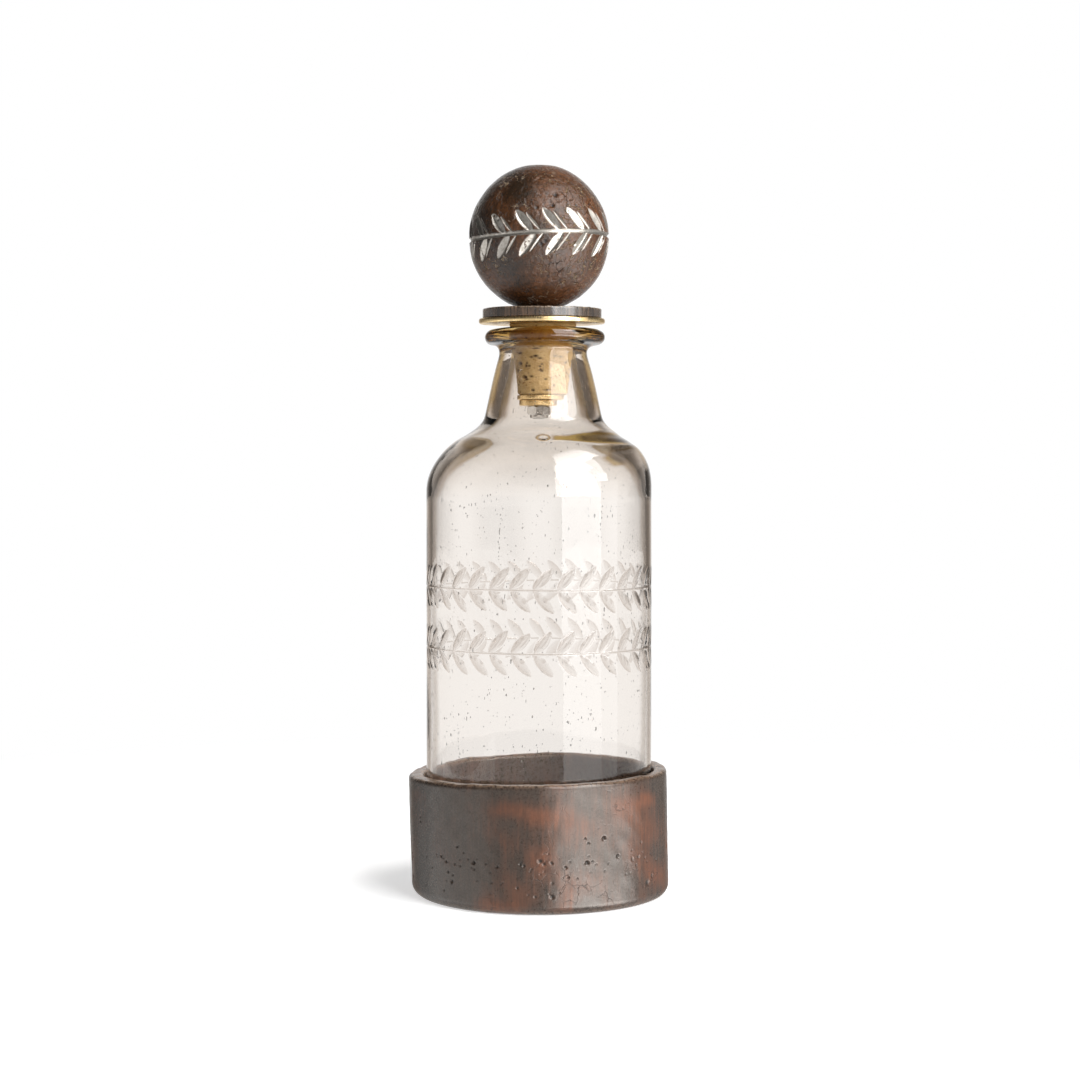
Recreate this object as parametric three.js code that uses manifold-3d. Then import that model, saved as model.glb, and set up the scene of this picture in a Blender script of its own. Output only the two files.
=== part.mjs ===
// A decanter: a blown glass bottle that stands loose in a turned wooden cup, with a corked stopper on top.
// The stopper's handle is a wooden ball. Leafy vines are cut round the bottle and round the ball.
// Units are millimetres, +Z is up, and the origin is the centre of the cup's foot.
import * as THREE from "three";
import { mergeVertices } from "three/addons/utils/BufferGeometryUtils.js";
import Module from "manifold-3d";

const wasm = await Module();
wasm.setup();

// Fits
const seatGap = 0.1; // between faces that rest on each other
const studGap = 0.25; // round the stud in every hole that it passes
const corkGap = 0.3; // round the cork in the bottle's mouth
const bottlePlay = 1; // round the bottle in the cup

// Wooden cup
const cupHeight = 57;
const cupWall = 6.75;
const cupFloor = 10.7;
const cupFootRound = 5;
const cupRimRound = 1.8;
const cupRecessRound = 3;
const cupLean = 1.4; // drift of the outside to the left, from foot to rim
const rimDip = 2.8; // how much lower the rim is on the left

// Glass bottle, with heights measured from its own foot
const bottleRadius = 51.5;
const glassWall = 2.5;
const glassFloor = 7;
const heelRound = 6;
const innerHeelRound = 9;
const puntRadius = 36;
const puntDepth = 2.5;
const shoulderHeight = 173.3; // where the straight wall ends
const shoulderRound = 27;
const shoulderSweep = THREE.MathUtils.degToRad(62);
const shoulderThickness = 4; // measured upwards, through the shoulder
const neckRise = 9.9; // from the end of the shoulder's round to the foot of the neck
const neckFootRadius = 26.7;
const neckWall = 6;
const neckLength = 28;
const neckFootLean = THREE.MathUtils.degToRad(11.5); // of the neck's side from upright, at its foot
const throatLean = THREE.MathUtils.degToRad(19); // the same where the neck is narrowest
const throatDepth = 11; // from the mouth down to the narrowest place
const throatWall = 5.7;
const lipOverhang = 7.8; // of the lip beyond the throat
const lipHeight = 6.6;
const mouthRound = 1.6;
const neckDrift = 1.7; // of the hand-blown neck to the right of the body's axis

// Cork
const corkTopRadius = 15.3;
const corkFootRadius = 11.7;
const corkLength = 32.5;
const corkProud = 2.7; // height of the cork above the bottle's mouth
const corkChamfer = 0.6;

// Stopper above the cork
const plateRadius = 28.8;
const plateThickness = 2.6;
const discRadius = 27.3;
const discThickness = 4.4;
const discChamfer = 0.7;
const ballRadius = 31.8;
const ballHalfHeight = 32.9; // the ball is a little taller than it is wide
const ballSeatRadius = 8; // of the flat that the ball stands on

// Fastening: a stud that is glued into the ball, two penny washers and a lock nut with a nylon ring
const studRadius = 3;
const studChamfer = 0.6;
const studInBall = 22;
const studPastNut = 0.6;
const corkWasherRadius = 11;
const corkWasherThickness = 2;
const nutWasherRadius = 8.9;
const nutWasherThickness = 2.5;
const nutAcrossFlats = 10;
const nutHexHeight = 3.6;
const nutCollarRadius = 4.2;
const nutCollarHeight = 2.9;
const nutCollarRound = 0.9;
const nutChamfer = 0.5;
const nutTurn = THREE.MathUtils.degToRad(17); // how far a flat is turned from facing the front
const insertRadius = 3.75;
const insertHeight = 1.4;
const insertLip = 0.5; // steel rolled over the nylon ring

// Vines: a stem groove with pairs of leaf gouges that lean away from it
const bottleVine = {
  heights: [129.4, 101.9],
  pairs: 32,
  first: [-2.7, -2.7].map(THREE.MathUtils.degToRad), // of the upper and of the lower leaves
  growth: 1, // to the right, seen from outside
  lean: THREE.MathUtils.degToRad(48),
  length: 12.4,
  width: 4.1,
  depth: 0.75,
  stemWidth: 0.9,
  stemDepth: 0.35,
  stemGap: 0.25, // between a leaf and the stem
};
const ballVine = {
  pairs: 16,
  first: [-5, 2].map(THREE.MathUtils.degToRad),
  growth: -1,
  lean: THREE.MathUtils.degToRad(53),
  length: 12.2,
  width: 3.6,
  depth: 1.3,
  stemWidth: 1.7,
  stemDepth: 0.8,
  stemGap: 0.3,
};

// Fineness of the facets
const wideSides = 48;
const narrowSides = 24;
const arcSteps = 3;
const leafSides = 6;
const weld = 0.01;

// Sizes that follow from those above
const recessRadius = bottleRadius + bottlePlay;
const cupRadius = recessRadius + cupWall;
const shoulderEnd = pointOnArc(bottleRadius - shoulderRound, shoulderHeight, shoulderRound, shoulderSweep);
const neckFootHeight = shoulderEnd.y + neckRise;
const throatHeight = neckFootHeight + neckLength;
const mouthHeight = throatHeight + throatDepth;
const throatRadius = corkRadiusAt(throatHeight) + corkGap + throatWall;
const studHole = studRadius + studGap;
const ballSeatDrop = ballHalfHeight * Math.sqrt(1 - (ballSeatRadius / ballRadius) ** 2);

// Levels of the stopper's pieces, measured from the cork's top
const plateLevel = seatGap;
const discLevel = plateLevel + plateThickness + seatGap;
const ballLevel = discLevel + discThickness + seatGap;
const corkWasherLevel = -corkLength - seatGap;
const nutWasherLevel = corkWasherLevel - corkWasherThickness - seatGap;
const nutLevel = nutWasherLevel - nutWasherThickness - seatGap;
const studFoot = nutLevel - nutHexHeight - nutCollarHeight - studPastNut;

function pointOnArc(x, y, radius, angle) {
  return new THREE.Vector2(x + radius * Math.cos(angle), y + radius * Math.sin(angle));
}

// The cork's radius at a height of the bottle
function corkRadiusAt(height) {
  const down = mouthHeight + corkProud - height;
  return THREE.MathUtils.lerp(corkTopRadius, corkFootRadius, down / corkLength);
}

// The corner where two tangents meet. Each is a point and its lean from upright, towards the axis.
function tangentCorner(p, leanP, q, leanQ) {
  const alongP = new THREE.Vector2(-Math.sin(leanP), Math.cos(leanP));
  const alongQ = new THREE.Vector2(-Math.sin(leanQ), Math.cos(leanQ));
  const reach = q.clone().sub(p).cross(alongQ) / alongP.cross(alongQ);
  return p.clone().addScaledVector(alongP, reach);
}

// A solid of revolution about +Z, from an outline of radius and height
function turned(outline, sides, steps = arcSteps) {
  const points = outline.getPoints(steps);
  const kept = points.filter((p, i) => i === 0 || p.distanceTo(points[i - 1]) > weld);
  return new THREE.LatheGeometry(kept, sides).rotateX(Math.PI / 2);
}

// A flat ring with square edges, from its underside up
function ring(inner, outer, thickness, sides) {
  const outline = new THREE.Path()
    .moveTo(inner, 0)
    .lineTo(outer, 0)
    .lineTo(outer, thickness)
    .lineTo(inner, thickness)
    .lineTo(inner, 0);
  return turned(outline, sides);
}

function toSolid(geometry) {
  const bare = geometry.clone();
  bare.deleteAttribute("normal");
  bare.deleteAttribute("uv");
  const welded = mergeVertices(bare, 1e-4);
  return new wasm.Manifold(
    new wasm.Mesh({
      numProp: 3,
      vertProperties: new Float32Array(welded.attributes.position.array),
      triVerts: new Uint32Array(welded.index.array),
    }),
  );
}

function toGeometry(solid) {
  const mesh = solid.getMesh();
  return new THREE.BufferGeometry()
    .setAttribute("position", new THREE.BufferAttribute(mesh.vertProperties, 3))
    .setIndex(new THREE.BufferAttribute(mesh.triVerts, 1));
}

// One leaf gouge: a cone on an oval base that points into the surface. Halfway down, its section is the leaf.
function leafGouge(vine, centre, outward, along) {
  const across = along.clone().cross(outward);
  const frame = new THREE.Matrix4().makeBasis(along, outward.clone().negate(), across.negate());
  return new THREE.ConeGeometry(1, 2 * vine.depth, leafSides, 1, false, Math.PI / 2)
    .scale(vine.length, 1, vine.width)
    .applyMatrix4(frame.setPosition(centre));
}

// Cuts the leaves of a vine whose stem runs round the axis. The surface gives its radius and slope at a rise.
function cutLeaves(solid, vine, stemHeight, surface) {
  const rise = vine.stemWidth / 2 + vine.stemGap + (vine.length / 2) * Math.sin(vine.lean);
  let cut = solid;
  for (let pair = 0; pair < vine.pairs; pair++) {
    for (const [row, side] of [1, -1].entries()) {
      const { radius, slope } = surface(side * rise);
      const advance = (vine.growth * (vine.length / 2) * Math.cos(vine.lean)) / radius;
      const angle = (2 * Math.PI * pair) / vine.pairs + vine.first[row] + advance;
      const radial = new THREE.Vector3(Math.cos(angle), Math.sin(angle), 0);
      const rightward = new THREE.Vector3(-Math.sin(angle), Math.cos(angle), 0);
      const outward = radial.clone().multiplyScalar(Math.cos(slope)).setZ(Math.sin(slope));
      const upward = outward.clone().cross(rightward);
      const along = rightward
        .multiplyScalar(vine.growth * Math.cos(vine.lean))
        .addScaledVector(upward, side * Math.sin(vine.lean));
      const centre = radial.multiplyScalar(radius).setZ(stemHeight + side * rise);
      cut = cut.subtract(toSolid(leafGouge(vine, centre, outward, along)));
    }
  }
  return cut;
}

// Moves every point of a geometry by a rule
function reshape(geometry, rule) {
  const points = geometry.attributes.position;
  const point = new THREE.Vector3();
  for (let i = 0; i < points.count; i++) {
    rule(point.fromBufferAttribute(points, i));
    points.setXYZ(i, point.x, point.y, point.z);
  }
  return geometry;
}

// A turned piece that sits to one side of the stud, with the stud's hole through it
function asideOnStud(outline, sides) {
  const hole = new THREE.CylinderGeometry(studHole, studHole, 4 * corkLength, narrowSides);
  const piece = turned(outline, sides).translate(neckDrift, 0, 0);
  return toGeometry(toSolid(piece).subtract(toSolid(hole.rotateX(Math.PI / 2))));
}

// The cup is shaped by hand: its outside leans to the left, and its rim dips there
function woodenCup() {
  const foot = cupRadius - cupFootRound;
  const rim = cupHeight - cupRimRound;
  const recess = recessRadius - cupRecessRound;
  const outline = new THREE.Path()
    .moveTo(0, 0)
    .lineTo(foot, 0)
    .absarc(foot, cupFootRound, cupFootRound, -Math.PI / 2, 0)
    .lineTo(cupRadius, rim)
    .absarc(cupRadius - cupRimRound, rim, cupRimRound, 0, Math.PI / 2)
    .lineTo(recessRadius + cupRimRound, cupHeight)
    .absarc(recessRadius + cupRimRound, rim, cupRimRound, Math.PI / 2, Math.PI)
    .lineTo(recessRadius, cupFloor + cupRecessRound)
    .absarc(recess, cupFloor + cupRecessRound, cupRecessRound, 0, -Math.PI / 2, true)
    .lineTo(0, cupFloor);
  return reshape(turned(outline, wideSides, 2), (point) => {
    const { smoothstep } = THREE.MathUtils;
    const outside = smoothstep(Math.hypot(point.x, point.y), recessRadius, cupRadius - cupRimRound);
    const left = (1 - point.x / cupRadius) / 2;
    point.x += outside * cupLean * (0.5 - point.z / cupHeight);
    point.z -= rimDip * left ** 3 * smoothstep(point.z, cupFloor + cupRecessRound, cupHeight);
  });
}

function glassBottle() {
  const heel = bottleRadius - heelRound;
  const neckFoot = new THREE.Vector2(neckFootRadius, neckFootHeight);
  const throat = new THREE.Vector2(throatRadius, throatHeight);
  const neckCorner = tangentCorner(shoulderEnd, shoulderSweep, neckFoot, neckFootLean);
  const throatCorner = tangentCorner(neckFoot, neckFootLean, throat, throatLean);
  const lipRound = lipHeight / 2;
  const lipUnderside = mouthHeight - lipHeight;
  const lipCentre = throatRadius + lipOverhang - lipRound;
  const mouthRadius = corkRadiusAt(mouthHeight) + corkGap;

  const innerRadius = bottleRadius - glassWall;
  const innerShoulder = shoulderHeight - shoulderThickness;
  const innerHeel = innerRadius - innerHeelRound;
  const innerEnd = shoulderEnd.clone().sub(new THREE.Vector2(glassWall, shoulderThickness));
  const innerNeckFoot = new THREE.Vector2(neckFootRadius - neckWall, neckFootHeight);
  const innerThroat = new THREE.Vector2(throatRadius - throatWall, throatHeight);
  const innerLean = Math.atan2(innerNeckFoot.x - innerThroat.x, neckLength);
  const innerCorner = tangentCorner(innerEnd, shoulderSweep, innerNeckFoot, innerLean);

  const outline = new THREE.Path()
    .moveTo(0, puntDepth)
    .quadraticCurveTo(puntRadius / 2, puntDepth, puntRadius, 0)
    .lineTo(heel, 0)
    .absarc(heel, heelRound, heelRound, -Math.PI / 2, 0);
  for (const height of [...bottleVine.heights].sort((a, b) => a - b)) {
    outline
      .lineTo(bottleRadius, height - bottleVine.stemWidth / 2)
      .lineTo(bottleRadius - bottleVine.stemDepth, height)
      .lineTo(bottleRadius, height + bottleVine.stemWidth / 2);
  }
  outline
    .lineTo(bottleRadius, shoulderHeight)
    .absarc(bottleRadius - shoulderRound, shoulderHeight, shoulderRound, 0, shoulderSweep)
    .quadraticCurveTo(neckCorner.x, neckCorner.y, neckFoot.x, neckFoot.y)
    .quadraticCurveTo(throatCorner.x, throatCorner.y, throat.x, throat.y)
    .quadraticCurveTo(throatRadius, lipUnderside, lipCentre, lipUnderside)
    .absarc(lipCentre, mouthHeight - lipRound, lipRound, -Math.PI / 2, Math.PI / 2)
    .lineTo(mouthRadius + mouthRound, mouthHeight)
    .absarc(mouthRadius + mouthRound, mouthHeight - mouthRound, mouthRound, Math.PI / 2, Math.PI)
    .lineTo(innerThroat.x, innerThroat.y)
    .lineTo(innerNeckFoot.x, innerNeckFoot.y)
    .quadraticCurveTo(innerCorner.x, innerCorner.y, innerEnd.x, innerEnd.y)
    .absarc(innerRadius - shoulderRound, innerShoulder, shoulderRound, shoulderSweep, 0, true)
    .lineTo(innerRadius, glassFloor + innerHeelRound)
    .absarc(innerHeel, glassFloor + innerHeelRound, innerHeelRound, 0, -Math.PI / 2, true)
    .lineTo(0, glassFloor);

  const straightWall = () => ({ radius: bottleRadius, slope: 0 });
  let solid = toSolid(turned(outline, wideSides));
  for (const height of bottleVine.heights) solid = cutLeaves(solid, bottleVine, height, straightWall);
  return reshape(toGeometry(solid), (point) => {
    point.x += neckDrift * THREE.MathUtils.smoothstep(point.z, shoulderHeight, shoulderEnd.y);
  });
}

function cork() {
  const outline = new THREE.Path()
    .moveTo(0, -corkLength)
    .lineTo(corkFootRadius - corkChamfer, -corkLength)
    .lineTo(corkFootRadius, -corkLength + corkChamfer)
    .lineTo(corkTopRadius, 0)
    .lineTo(0, 0);
  return asideOnStud(outline, narrowSides);
}

// A brass disc with a half-round edge
function brassPlate() {
  const edge = plateThickness / 2;
  const outline = new THREE.Path()
    .moveTo(0, 0)
    .lineTo(plateRadius - edge, 0)
    .absarc(plateRadius - edge, edge, edge, -Math.PI / 2, Math.PI / 2)
    .lineTo(0, plateThickness);
  return asideOnStud(outline, wideSides);
}

function stopperDisc() {
  const outline = new THREE.Path()
    .moveTo(0, 0)
    .lineTo(discRadius, 0)
    .lineTo(discRadius, discThickness - discChamfer)
    .lineTo(discRadius - discChamfer, discThickness)
    .lineTo(0, discThickness);
  return asideOnStud(outline, wideSides);
}

// The ball stands on a flat, has a blind hole for the stud, and a stem groove round its middle
function stopperBall() {
  const seatAngle = Math.asin(ballSeatDrop / ballHalfHeight);
  const grooveAngle = Math.asin(ballVine.stemWidth / 2 / ballHalfHeight);
  const holeTop = studInBall + studGap - ballSeatDrop;
  const outline = new THREE.Path()
    .moveTo(0, holeTop)
    .lineTo(studHole, holeTop)
    .lineTo(studHole, -ballSeatDrop)
    .lineTo(ballSeatRadius, -ballSeatDrop)
    .absellipse(0, 0, ballRadius, ballHalfHeight, -seatAngle, -grooveAngle)
    .lineTo(ballRadius - ballVine.stemDepth, 0)
    .absellipse(0, 0, ballRadius, ballHalfHeight, grooveAngle, Math.PI / 2)
    .lineTo(0, ballHalfHeight);
  const onBall = (rise) => {
    const radius = ballRadius * Math.sqrt(1 - (rise / ballHalfHeight) ** 2);
    return { radius, slope: Math.atan2(rise / ballHalfHeight ** 2, radius / ballRadius ** 2) };
  };
  return toGeometry(cutLeaves(toSolid(turned(outline, wideSides)), ballVine, 0, onBall));
}

function stud() {
  const top = ballLevel + studInBall;
  const outline = new THREE.Path()
    .moveTo(0, studFoot)
    .lineTo(studRadius - studChamfer, studFoot)
    .lineTo(studRadius, studFoot + studChamfer)
    .lineTo(studRadius, top - studChamfer)
    .lineTo(studRadius - studChamfer, top)
    .lineTo(0, top);
  return turned(outline, narrowSides);
}

// The nut hangs from its seat at height 0: a chamfered hexagon, then a round collar that holds the nylon ring
function lockNut() {
  const corner = nutAcrossFlats / 2 / Math.cos(Math.PI / 6);
  const height = nutHexHeight + nutCollarHeight;
  const hexagon = new THREE.CylinderGeometry(corner, corner, nutHexHeight, 6)
    .rotateX(Math.PI / 2)
    .translate(0, 0, -nutHexHeight / 2);
  const rounding = new THREE.Path()
    .moveTo(0, -nutHexHeight)
    .lineTo(corner - nutChamfer, -nutHexHeight)
    .lineTo(corner, nutChamfer - nutHexHeight)
    .lineTo(corner, -nutChamfer)
    .lineTo(corner - nutChamfer, 0)
    .lineTo(0, 0);
  const collar = new THREE.Path()
    .moveTo(0, -height)
    .lineTo(nutCollarRadius - nutCollarRound, -height)
    .absarc(nutCollarRadius - nutCollarRound, nutCollarRound - height, nutCollarRound, -Math.PI / 2, 0)
    .lineTo(nutCollarRadius, -nutHexHeight / 2)
    .lineTo(0, -nutHexHeight / 2);
  const pocket = insertRadius + seatGap;
  const pocketFoot = insertLip - height;
  const pocketTop = pocketFoot + insertHeight + 2 * seatGap;
  const bore = new THREE.Path()
    .moveTo(0, -height - 1)
    .lineTo(studHole, -height - 1)
    .lineTo(studHole, pocketFoot)
    .lineTo(pocket, pocketFoot)
    .lineTo(pocket, pocketTop)
    .lineTo(studHole, pocketTop)
    .lineTo(studHole, 1)
    .lineTo(0, 1);
  return toGeometry(
    toSolid(hexagon)
      .intersect(toSolid(turned(rounding, narrowSides)))
      .add(toSolid(turned(collar, narrowSides)))
      .subtract(toSolid(turned(bore, narrowSides))),
  );
}

const wood = (color) => new THREE.MeshStandardMaterial({ color, roughness: 0.45, metalness: 0 });
const metal = (color, roughness) => new THREE.MeshStandardMaterial({ color, roughness, metalness: 1 });
const materials = {
  cup: wood("#4a3730"),
  ball: wood("#4b372b"),
  disc: wood("#4d4640"),
  cork: new THREE.MeshStandardMaterial({ color: "#b8935a", roughness: 0.85, metalness: 0 }),
  glass: new THREE.MeshStandardMaterial({
    color: "#efe6dd",
    roughness: 0.05,
    metalness: 0,
    transparent: true,
    opacity: 0.35,
  }),
  brass: metal("#c9a04e", 0.25),
  steel: metal("#c8c6c2", 0.2),
  nylon: new THREE.MeshStandardMaterial({ color: "#d9d6cc", roughness: 0.6, metalness: 0 }),
};

function piece(name, geometry, material, level = 0) {
  const mesh = new THREE.Mesh(geometry, material);
  mesh.name = name;
  mesh.position.z = level;
  return mesh;
}

const nut = piece("lock_nut", lockNut(), materials.steel, nutLevel);
nut.rotation.z = nutTurn;

const insertLevel = nutLevel - nutHexHeight - nutCollarHeight + insertLip + seatGap;

const stopper = new THREE.Group();
stopper.position.z = mouthHeight + corkProud;
stopper.add(
  piece("cork", cork(), materials.cork),
  piece("brass_plate", brassPlate(), materials.brass, plateLevel),
  piece("stopper_disc", stopperDisc(), materials.disc, discLevel),
  piece("stopper_ball", stopperBall(), materials.ball, ballLevel + ballSeatDrop),
  piece("stud", stud(), materials.steel),
  piece("cork_washer", ring(studHole, corkWasherRadius, corkWasherThickness, narrowSides), materials.brass,
    corkWasherLevel - corkWasherThickness),
  piece("nut_washer", ring(studHole, nutWasherRadius, nutWasherThickness, narrowSides), materials.brass,
    nutWasherLevel - nutWasherThickness),
  nut,
  piece("nut_insert", ring(studHole, insertRadius, insertHeight, narrowSides), materials.nylon, insertLevel),
);

const bottle = new THREE.Group();
bottle.position.z = cupFloor + seatGap;
bottle.add(piece("glass_bottle", glassBottle(), materials.glass), stopper);

const decanter = new THREE.Group();
decanter.add(piece("wooden_cup", woodenCup(), materials.cup), bottle);

export default decanter;
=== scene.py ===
import math

import bpy
import numpy as np
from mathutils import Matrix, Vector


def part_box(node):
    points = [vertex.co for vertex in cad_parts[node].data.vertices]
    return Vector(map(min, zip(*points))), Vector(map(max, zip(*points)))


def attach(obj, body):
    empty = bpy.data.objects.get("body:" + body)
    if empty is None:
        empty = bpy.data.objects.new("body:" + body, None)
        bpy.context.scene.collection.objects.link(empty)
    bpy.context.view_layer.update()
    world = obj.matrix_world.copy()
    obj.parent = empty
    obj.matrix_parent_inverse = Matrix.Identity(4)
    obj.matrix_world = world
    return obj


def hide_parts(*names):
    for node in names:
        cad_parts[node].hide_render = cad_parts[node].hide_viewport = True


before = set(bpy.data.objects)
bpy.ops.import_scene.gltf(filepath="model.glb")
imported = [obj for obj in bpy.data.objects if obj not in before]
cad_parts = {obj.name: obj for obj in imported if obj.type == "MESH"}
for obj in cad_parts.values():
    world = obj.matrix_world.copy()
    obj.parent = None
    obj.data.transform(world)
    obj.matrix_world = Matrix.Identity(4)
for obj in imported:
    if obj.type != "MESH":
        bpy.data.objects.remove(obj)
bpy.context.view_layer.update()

mm = 0.001
tau = 2 * math.pi
scene = bpy.context.scene
scene.view_settings.view_transform = "Standard"


# mesh tools, all in millimetres until a piece is made

def ease(x, low, high):  # smooth 0 to 1 between low and high
    t = np.clip((x - low) / (high - low), 0, 1)
    return t * t * (3 - 2 * t)


def bell(x, middle, width):  # 1 at the middle, falling off smoothly to both sides
    return np.exp(-((x - middle) / width) ** 2)


def dent(far, steep):  # round hollow, by distance in radii
    return np.exp(-steep * far ** 3)


def awayFrom(turn, bear):  # degrees from a bearing, the short way round
    return (turn - bear + 180) % 360 - 180


def arcRows(cx, cz, radius, start, end, count):  # degrees, in the radius and height plane
    a = np.radians(np.linspace(start, end, count))
    return np.column_stack([cx + radius * np.cos(a), cz + radius * np.sin(a)])


def lineRows(p, q, count):
    return np.linspace(p, q, count)


def curveRows(p, corner, q, count):  # one soft bend from p to q
    t = np.linspace(0, 1, count)[:, None]
    p, corner, q = map(np.asarray, (p, corner, q))
    return p * (1 - t) ** 2 + 2 * corner * t * (1 - t) + q * t ** 2


def joinRows(*stretches):
    rows = np.vstack(stretches)
    keep = np.r_[True, np.linalg.norm(np.diff(rows, axis=0), axis=1) > 1e-4]
    return rows[keep]


def soften(rows, times):  # rounds off the joins between stretches
    for _ in range(times):
        rows[1:-1] = (rows[:-2] + 2 * rows[1:-1] + rows[2:]) / 4


def tangentCorner(p, leanP, q, leanQ):  # where two slopes meet, leans in degrees from upright
    p, q = np.asarray(p), np.asarray(q)
    a = np.array([-math.sin(math.radians(leanP)), math.cos(math.radians(leanP))])
    b = np.array([-math.sin(math.radians(leanQ)), math.cos(math.radians(leanQ))])
    reach = ((q - p)[0] * b[1] - (q - p)[1] * b[0]) / (a[0] * b[1] - a[1] * b[0])
    return p + a * reach


def spin(rows, cols):  # rows of radius and height to a grid of points and their outward normals
    a = np.arange(cols) * tau / cols
    slope = np.gradient(rows, axis=0)
    slope /= np.linalg.norm(slope, axis=1)[:, None] + 1e-12
    def around(r, z):
        return np.stack([r[:, None] * np.cos(a), r[:, None] * np.sin(a), z[:, None] + 0 * a], axis=-1)
    return around(rows[:, 0], rows[:, 1]), around(slope[:, 1], -slope[:, 0])


def bearing(grid):  # degrees to the viewer's right of the front, seen from outside
    return np.degrees(np.arctan2(grid[..., 0], -grid[..., 1]))


def uneven(points, size, seed, waves, longest, shortest):  # seeded smooth waves, about -size to size
    rng = np.random.default_rng(seed)
    way = rng.normal(size=(waves, 3))
    way /= np.linalg.norm(way, axis=1)[:, None]
    way *= (tau / (longest * (shortest / longest) ** rng.random(waves)))[:, None]
    phase = rng.random(waves) * tau
    total = np.zeros(points.shape[:-1])
    for w, f in zip(way, phase):
        total += np.sin(points @ w + f)
    return size * (total / math.sqrt(waves))


stopper = dict(lean=2.4, pivot=251.3)  # the stopper sits a little crooked, tipped towards the viewer


def tip(points):
    a = math.radians(stopper["lean"])
    y, z = points[:, 1], points[:, 2] - stopper["pivot"]
    return np.column_stack([points[:, 0], y * math.cos(a) - z * math.sin(a),
                            y * math.sin(a) + z * math.cos(a) + stopper["pivot"]])


def setAside(grid, shift, hole):  # sets a piece to one side, with its hole left on the stud
    far = np.hypot(grid[..., 0], grid[..., 1])
    grid[..., 0] += shift * ease(far, hole + 0.2, hole + 4)


def gridPiece(name, grid, body, node, look, ring=False, masks=None, extra=None, sharp=None):
    # a closed turned piece: a ring of rows, or rows that run from pole to pole
    rows, cols = grid.shape[:2]
    points = grid.reshape(-1, 3)
    i = np.arange(rows if ring else rows - 1)[:, None]
    j = np.arange(cols)[None, :]
    above, beside = (i + 1) % rows * cols, (j + 1) % cols
    quads = np.stack([i * cols + j, i * cols + beside, above + beside, above + j], axis=-1)
    faces = quads.reshape(-1, 4).tolist()
    if not ring:
        low, high = len(points), len(points) + 1
        points = np.vstack([points, grid[0].mean(0), grid[-1].mean(0)])
        last = (rows - 1) * cols
        for c in range(cols):
            faces.append([low, (c + 1) % cols, c])
            faces.append([high, last + c, last + (c + 1) % cols])
    if extra is not None:
        faces += (extra[1] + len(points)).tolist()
        points = np.vstack([points, extra[0]])
    if body == "stopper":
        points = tip(points)
    mesh = bpy.data.meshes.new(name)
    mesh.from_pydata((points * mm).tolist(), [], faces)
    mesh.shade_smooth()
    if sharp:
        mesh.set_sharp_from_angle(angle=math.radians(sharp))
    for label, values in (masks or {}).items():
        full = np.zeros(len(points), dtype=np.float32)
        full[: values.size] = values.reshape(-1)
        mesh.attributes.new(label, "FLOAT", "POINT").data.foreach_set("value", full)
    piece = bpy.data.objects.new(name, mesh)
    scene.collection.objects.link(piece)
    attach(piece, body)
    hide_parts(node)
    mesh.materials.append(look)
    print(" ", name, len(mesh.polygons), "faces")
    return piece


leaf = dict(
    strayPlace=0.6, strayLean=4, strayLength=0.07, strayWidth=0.08,  # times the vine's own wander
    shadeRim=0.15, dimMiddle=0.65, dimSide=0.35,  # painted shade in the cut leaves, darker towards one edge
)


def leafCut(along, away, vine, seed):
    # depth and painted shade of a row of leaves: along is distance round the stem, away is distance above it
    rng = np.random.default_rng(seed)
    pitch, wander = vine["pitch"], vine["wander"]
    cut = np.zeros(np.broadcast(along, away).shape)
    paintedLeafShade = np.zeros(cut.shape)
    for side, lean, shift in ((1, vine["leanUp"], 0), (-1, vine["leanDown"], vine["lowerShift"])):
        stray = np.clip(rng.normal(0, wander, (vine["pairs"], 4)), -2 * wander, 2 * wander)
        skew = vine["skew"] * (side if vine["growth"] < 0 else 1)  # deepest near one edge
        for offset, wide, deep, long in vine["strokes"]:
            for near in (-1, 0, 1):
                start = along - shift - offset
                index = np.floor(start / pitch).astype(int) + near
                w = stray[index % vine["pairs"]]
                ds = (start - index * pitch - leaf["strayPlace"] * w[..., 0]) * vine["growth"]
                dt = away * side - vine["gap"]
                a = np.radians(lean + leaf["strayLean"] * w[..., 1])
                length = vine["length"] * long * (1 + leaf["strayLength"] * w[..., 2])
                f = np.clip((ds * np.cos(a) + dt * np.sin(a)) / length, 0, 1)
                full = vine["width"] / 2 * wide * (1 + leaf["strayWidth"] * w[..., 3])
                half = full * (4 * f * (1 - f)) ** vine["point"] + 1e-6
                v = (-ds * np.sin(a) + dt * np.cos(a)) / half
                across = np.where(v > skew, (v - skew) / (1 - skew), (skew - v) / (1 + skew))
                across = np.clip(1 - across ** vine["round"], 0, None)
                cut = np.maximum(cut, vine["depth"] * deep * half / full * across)
                paintedShade = np.clip(across / leaf["shadeRim"], 0, 1)
                paintedLeafShade = np.maximum(paintedLeafShade, paintedShade * (leaf["dimMiddle"] + leaf["dimSide"] * np.clip(v, -1, 1)))
    return cut, paintedLeafShade


# node tools

def put(tree, kind, settings=None, sockets=None):  # one node, with its settings, values and links
    node = tree.nodes.new("ShaderNode" + kind)
    for key, value in (settings or {}).items():
        setattr(node, key, value)
    for key, value in (sockets or {}).items():
        if isinstance(value, bpy.types.NodeSocket):
            tree.links.new(value, node.inputs[key])
        else:
            node.inputs[key].default_value = value
    return node


def calc(tree, operation, a, b=0.0):
    return put(tree, "Math", {"operation": operation}, {0: a, 1: b}).outputs[0]


def plus(tree, a, b):
    return calc(tree, "ADD", a, b)


def times(tree, a, b):
    return calc(tree, "MULTIPLY", a, b)


def blendValue(tree, amount, a, b):
    return put(tree, "Mix", {"data_type": "FLOAT"}, {0: amount, 2: a, 3: b}).outputs[0]


def blendColour(tree, amount, a, b, way="MIX"):
    return put(tree, "Mix", {"data_type": "RGBA", "blend_type": way}, {0: amount, 6: a, 7: b}).outputs[2]


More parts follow.
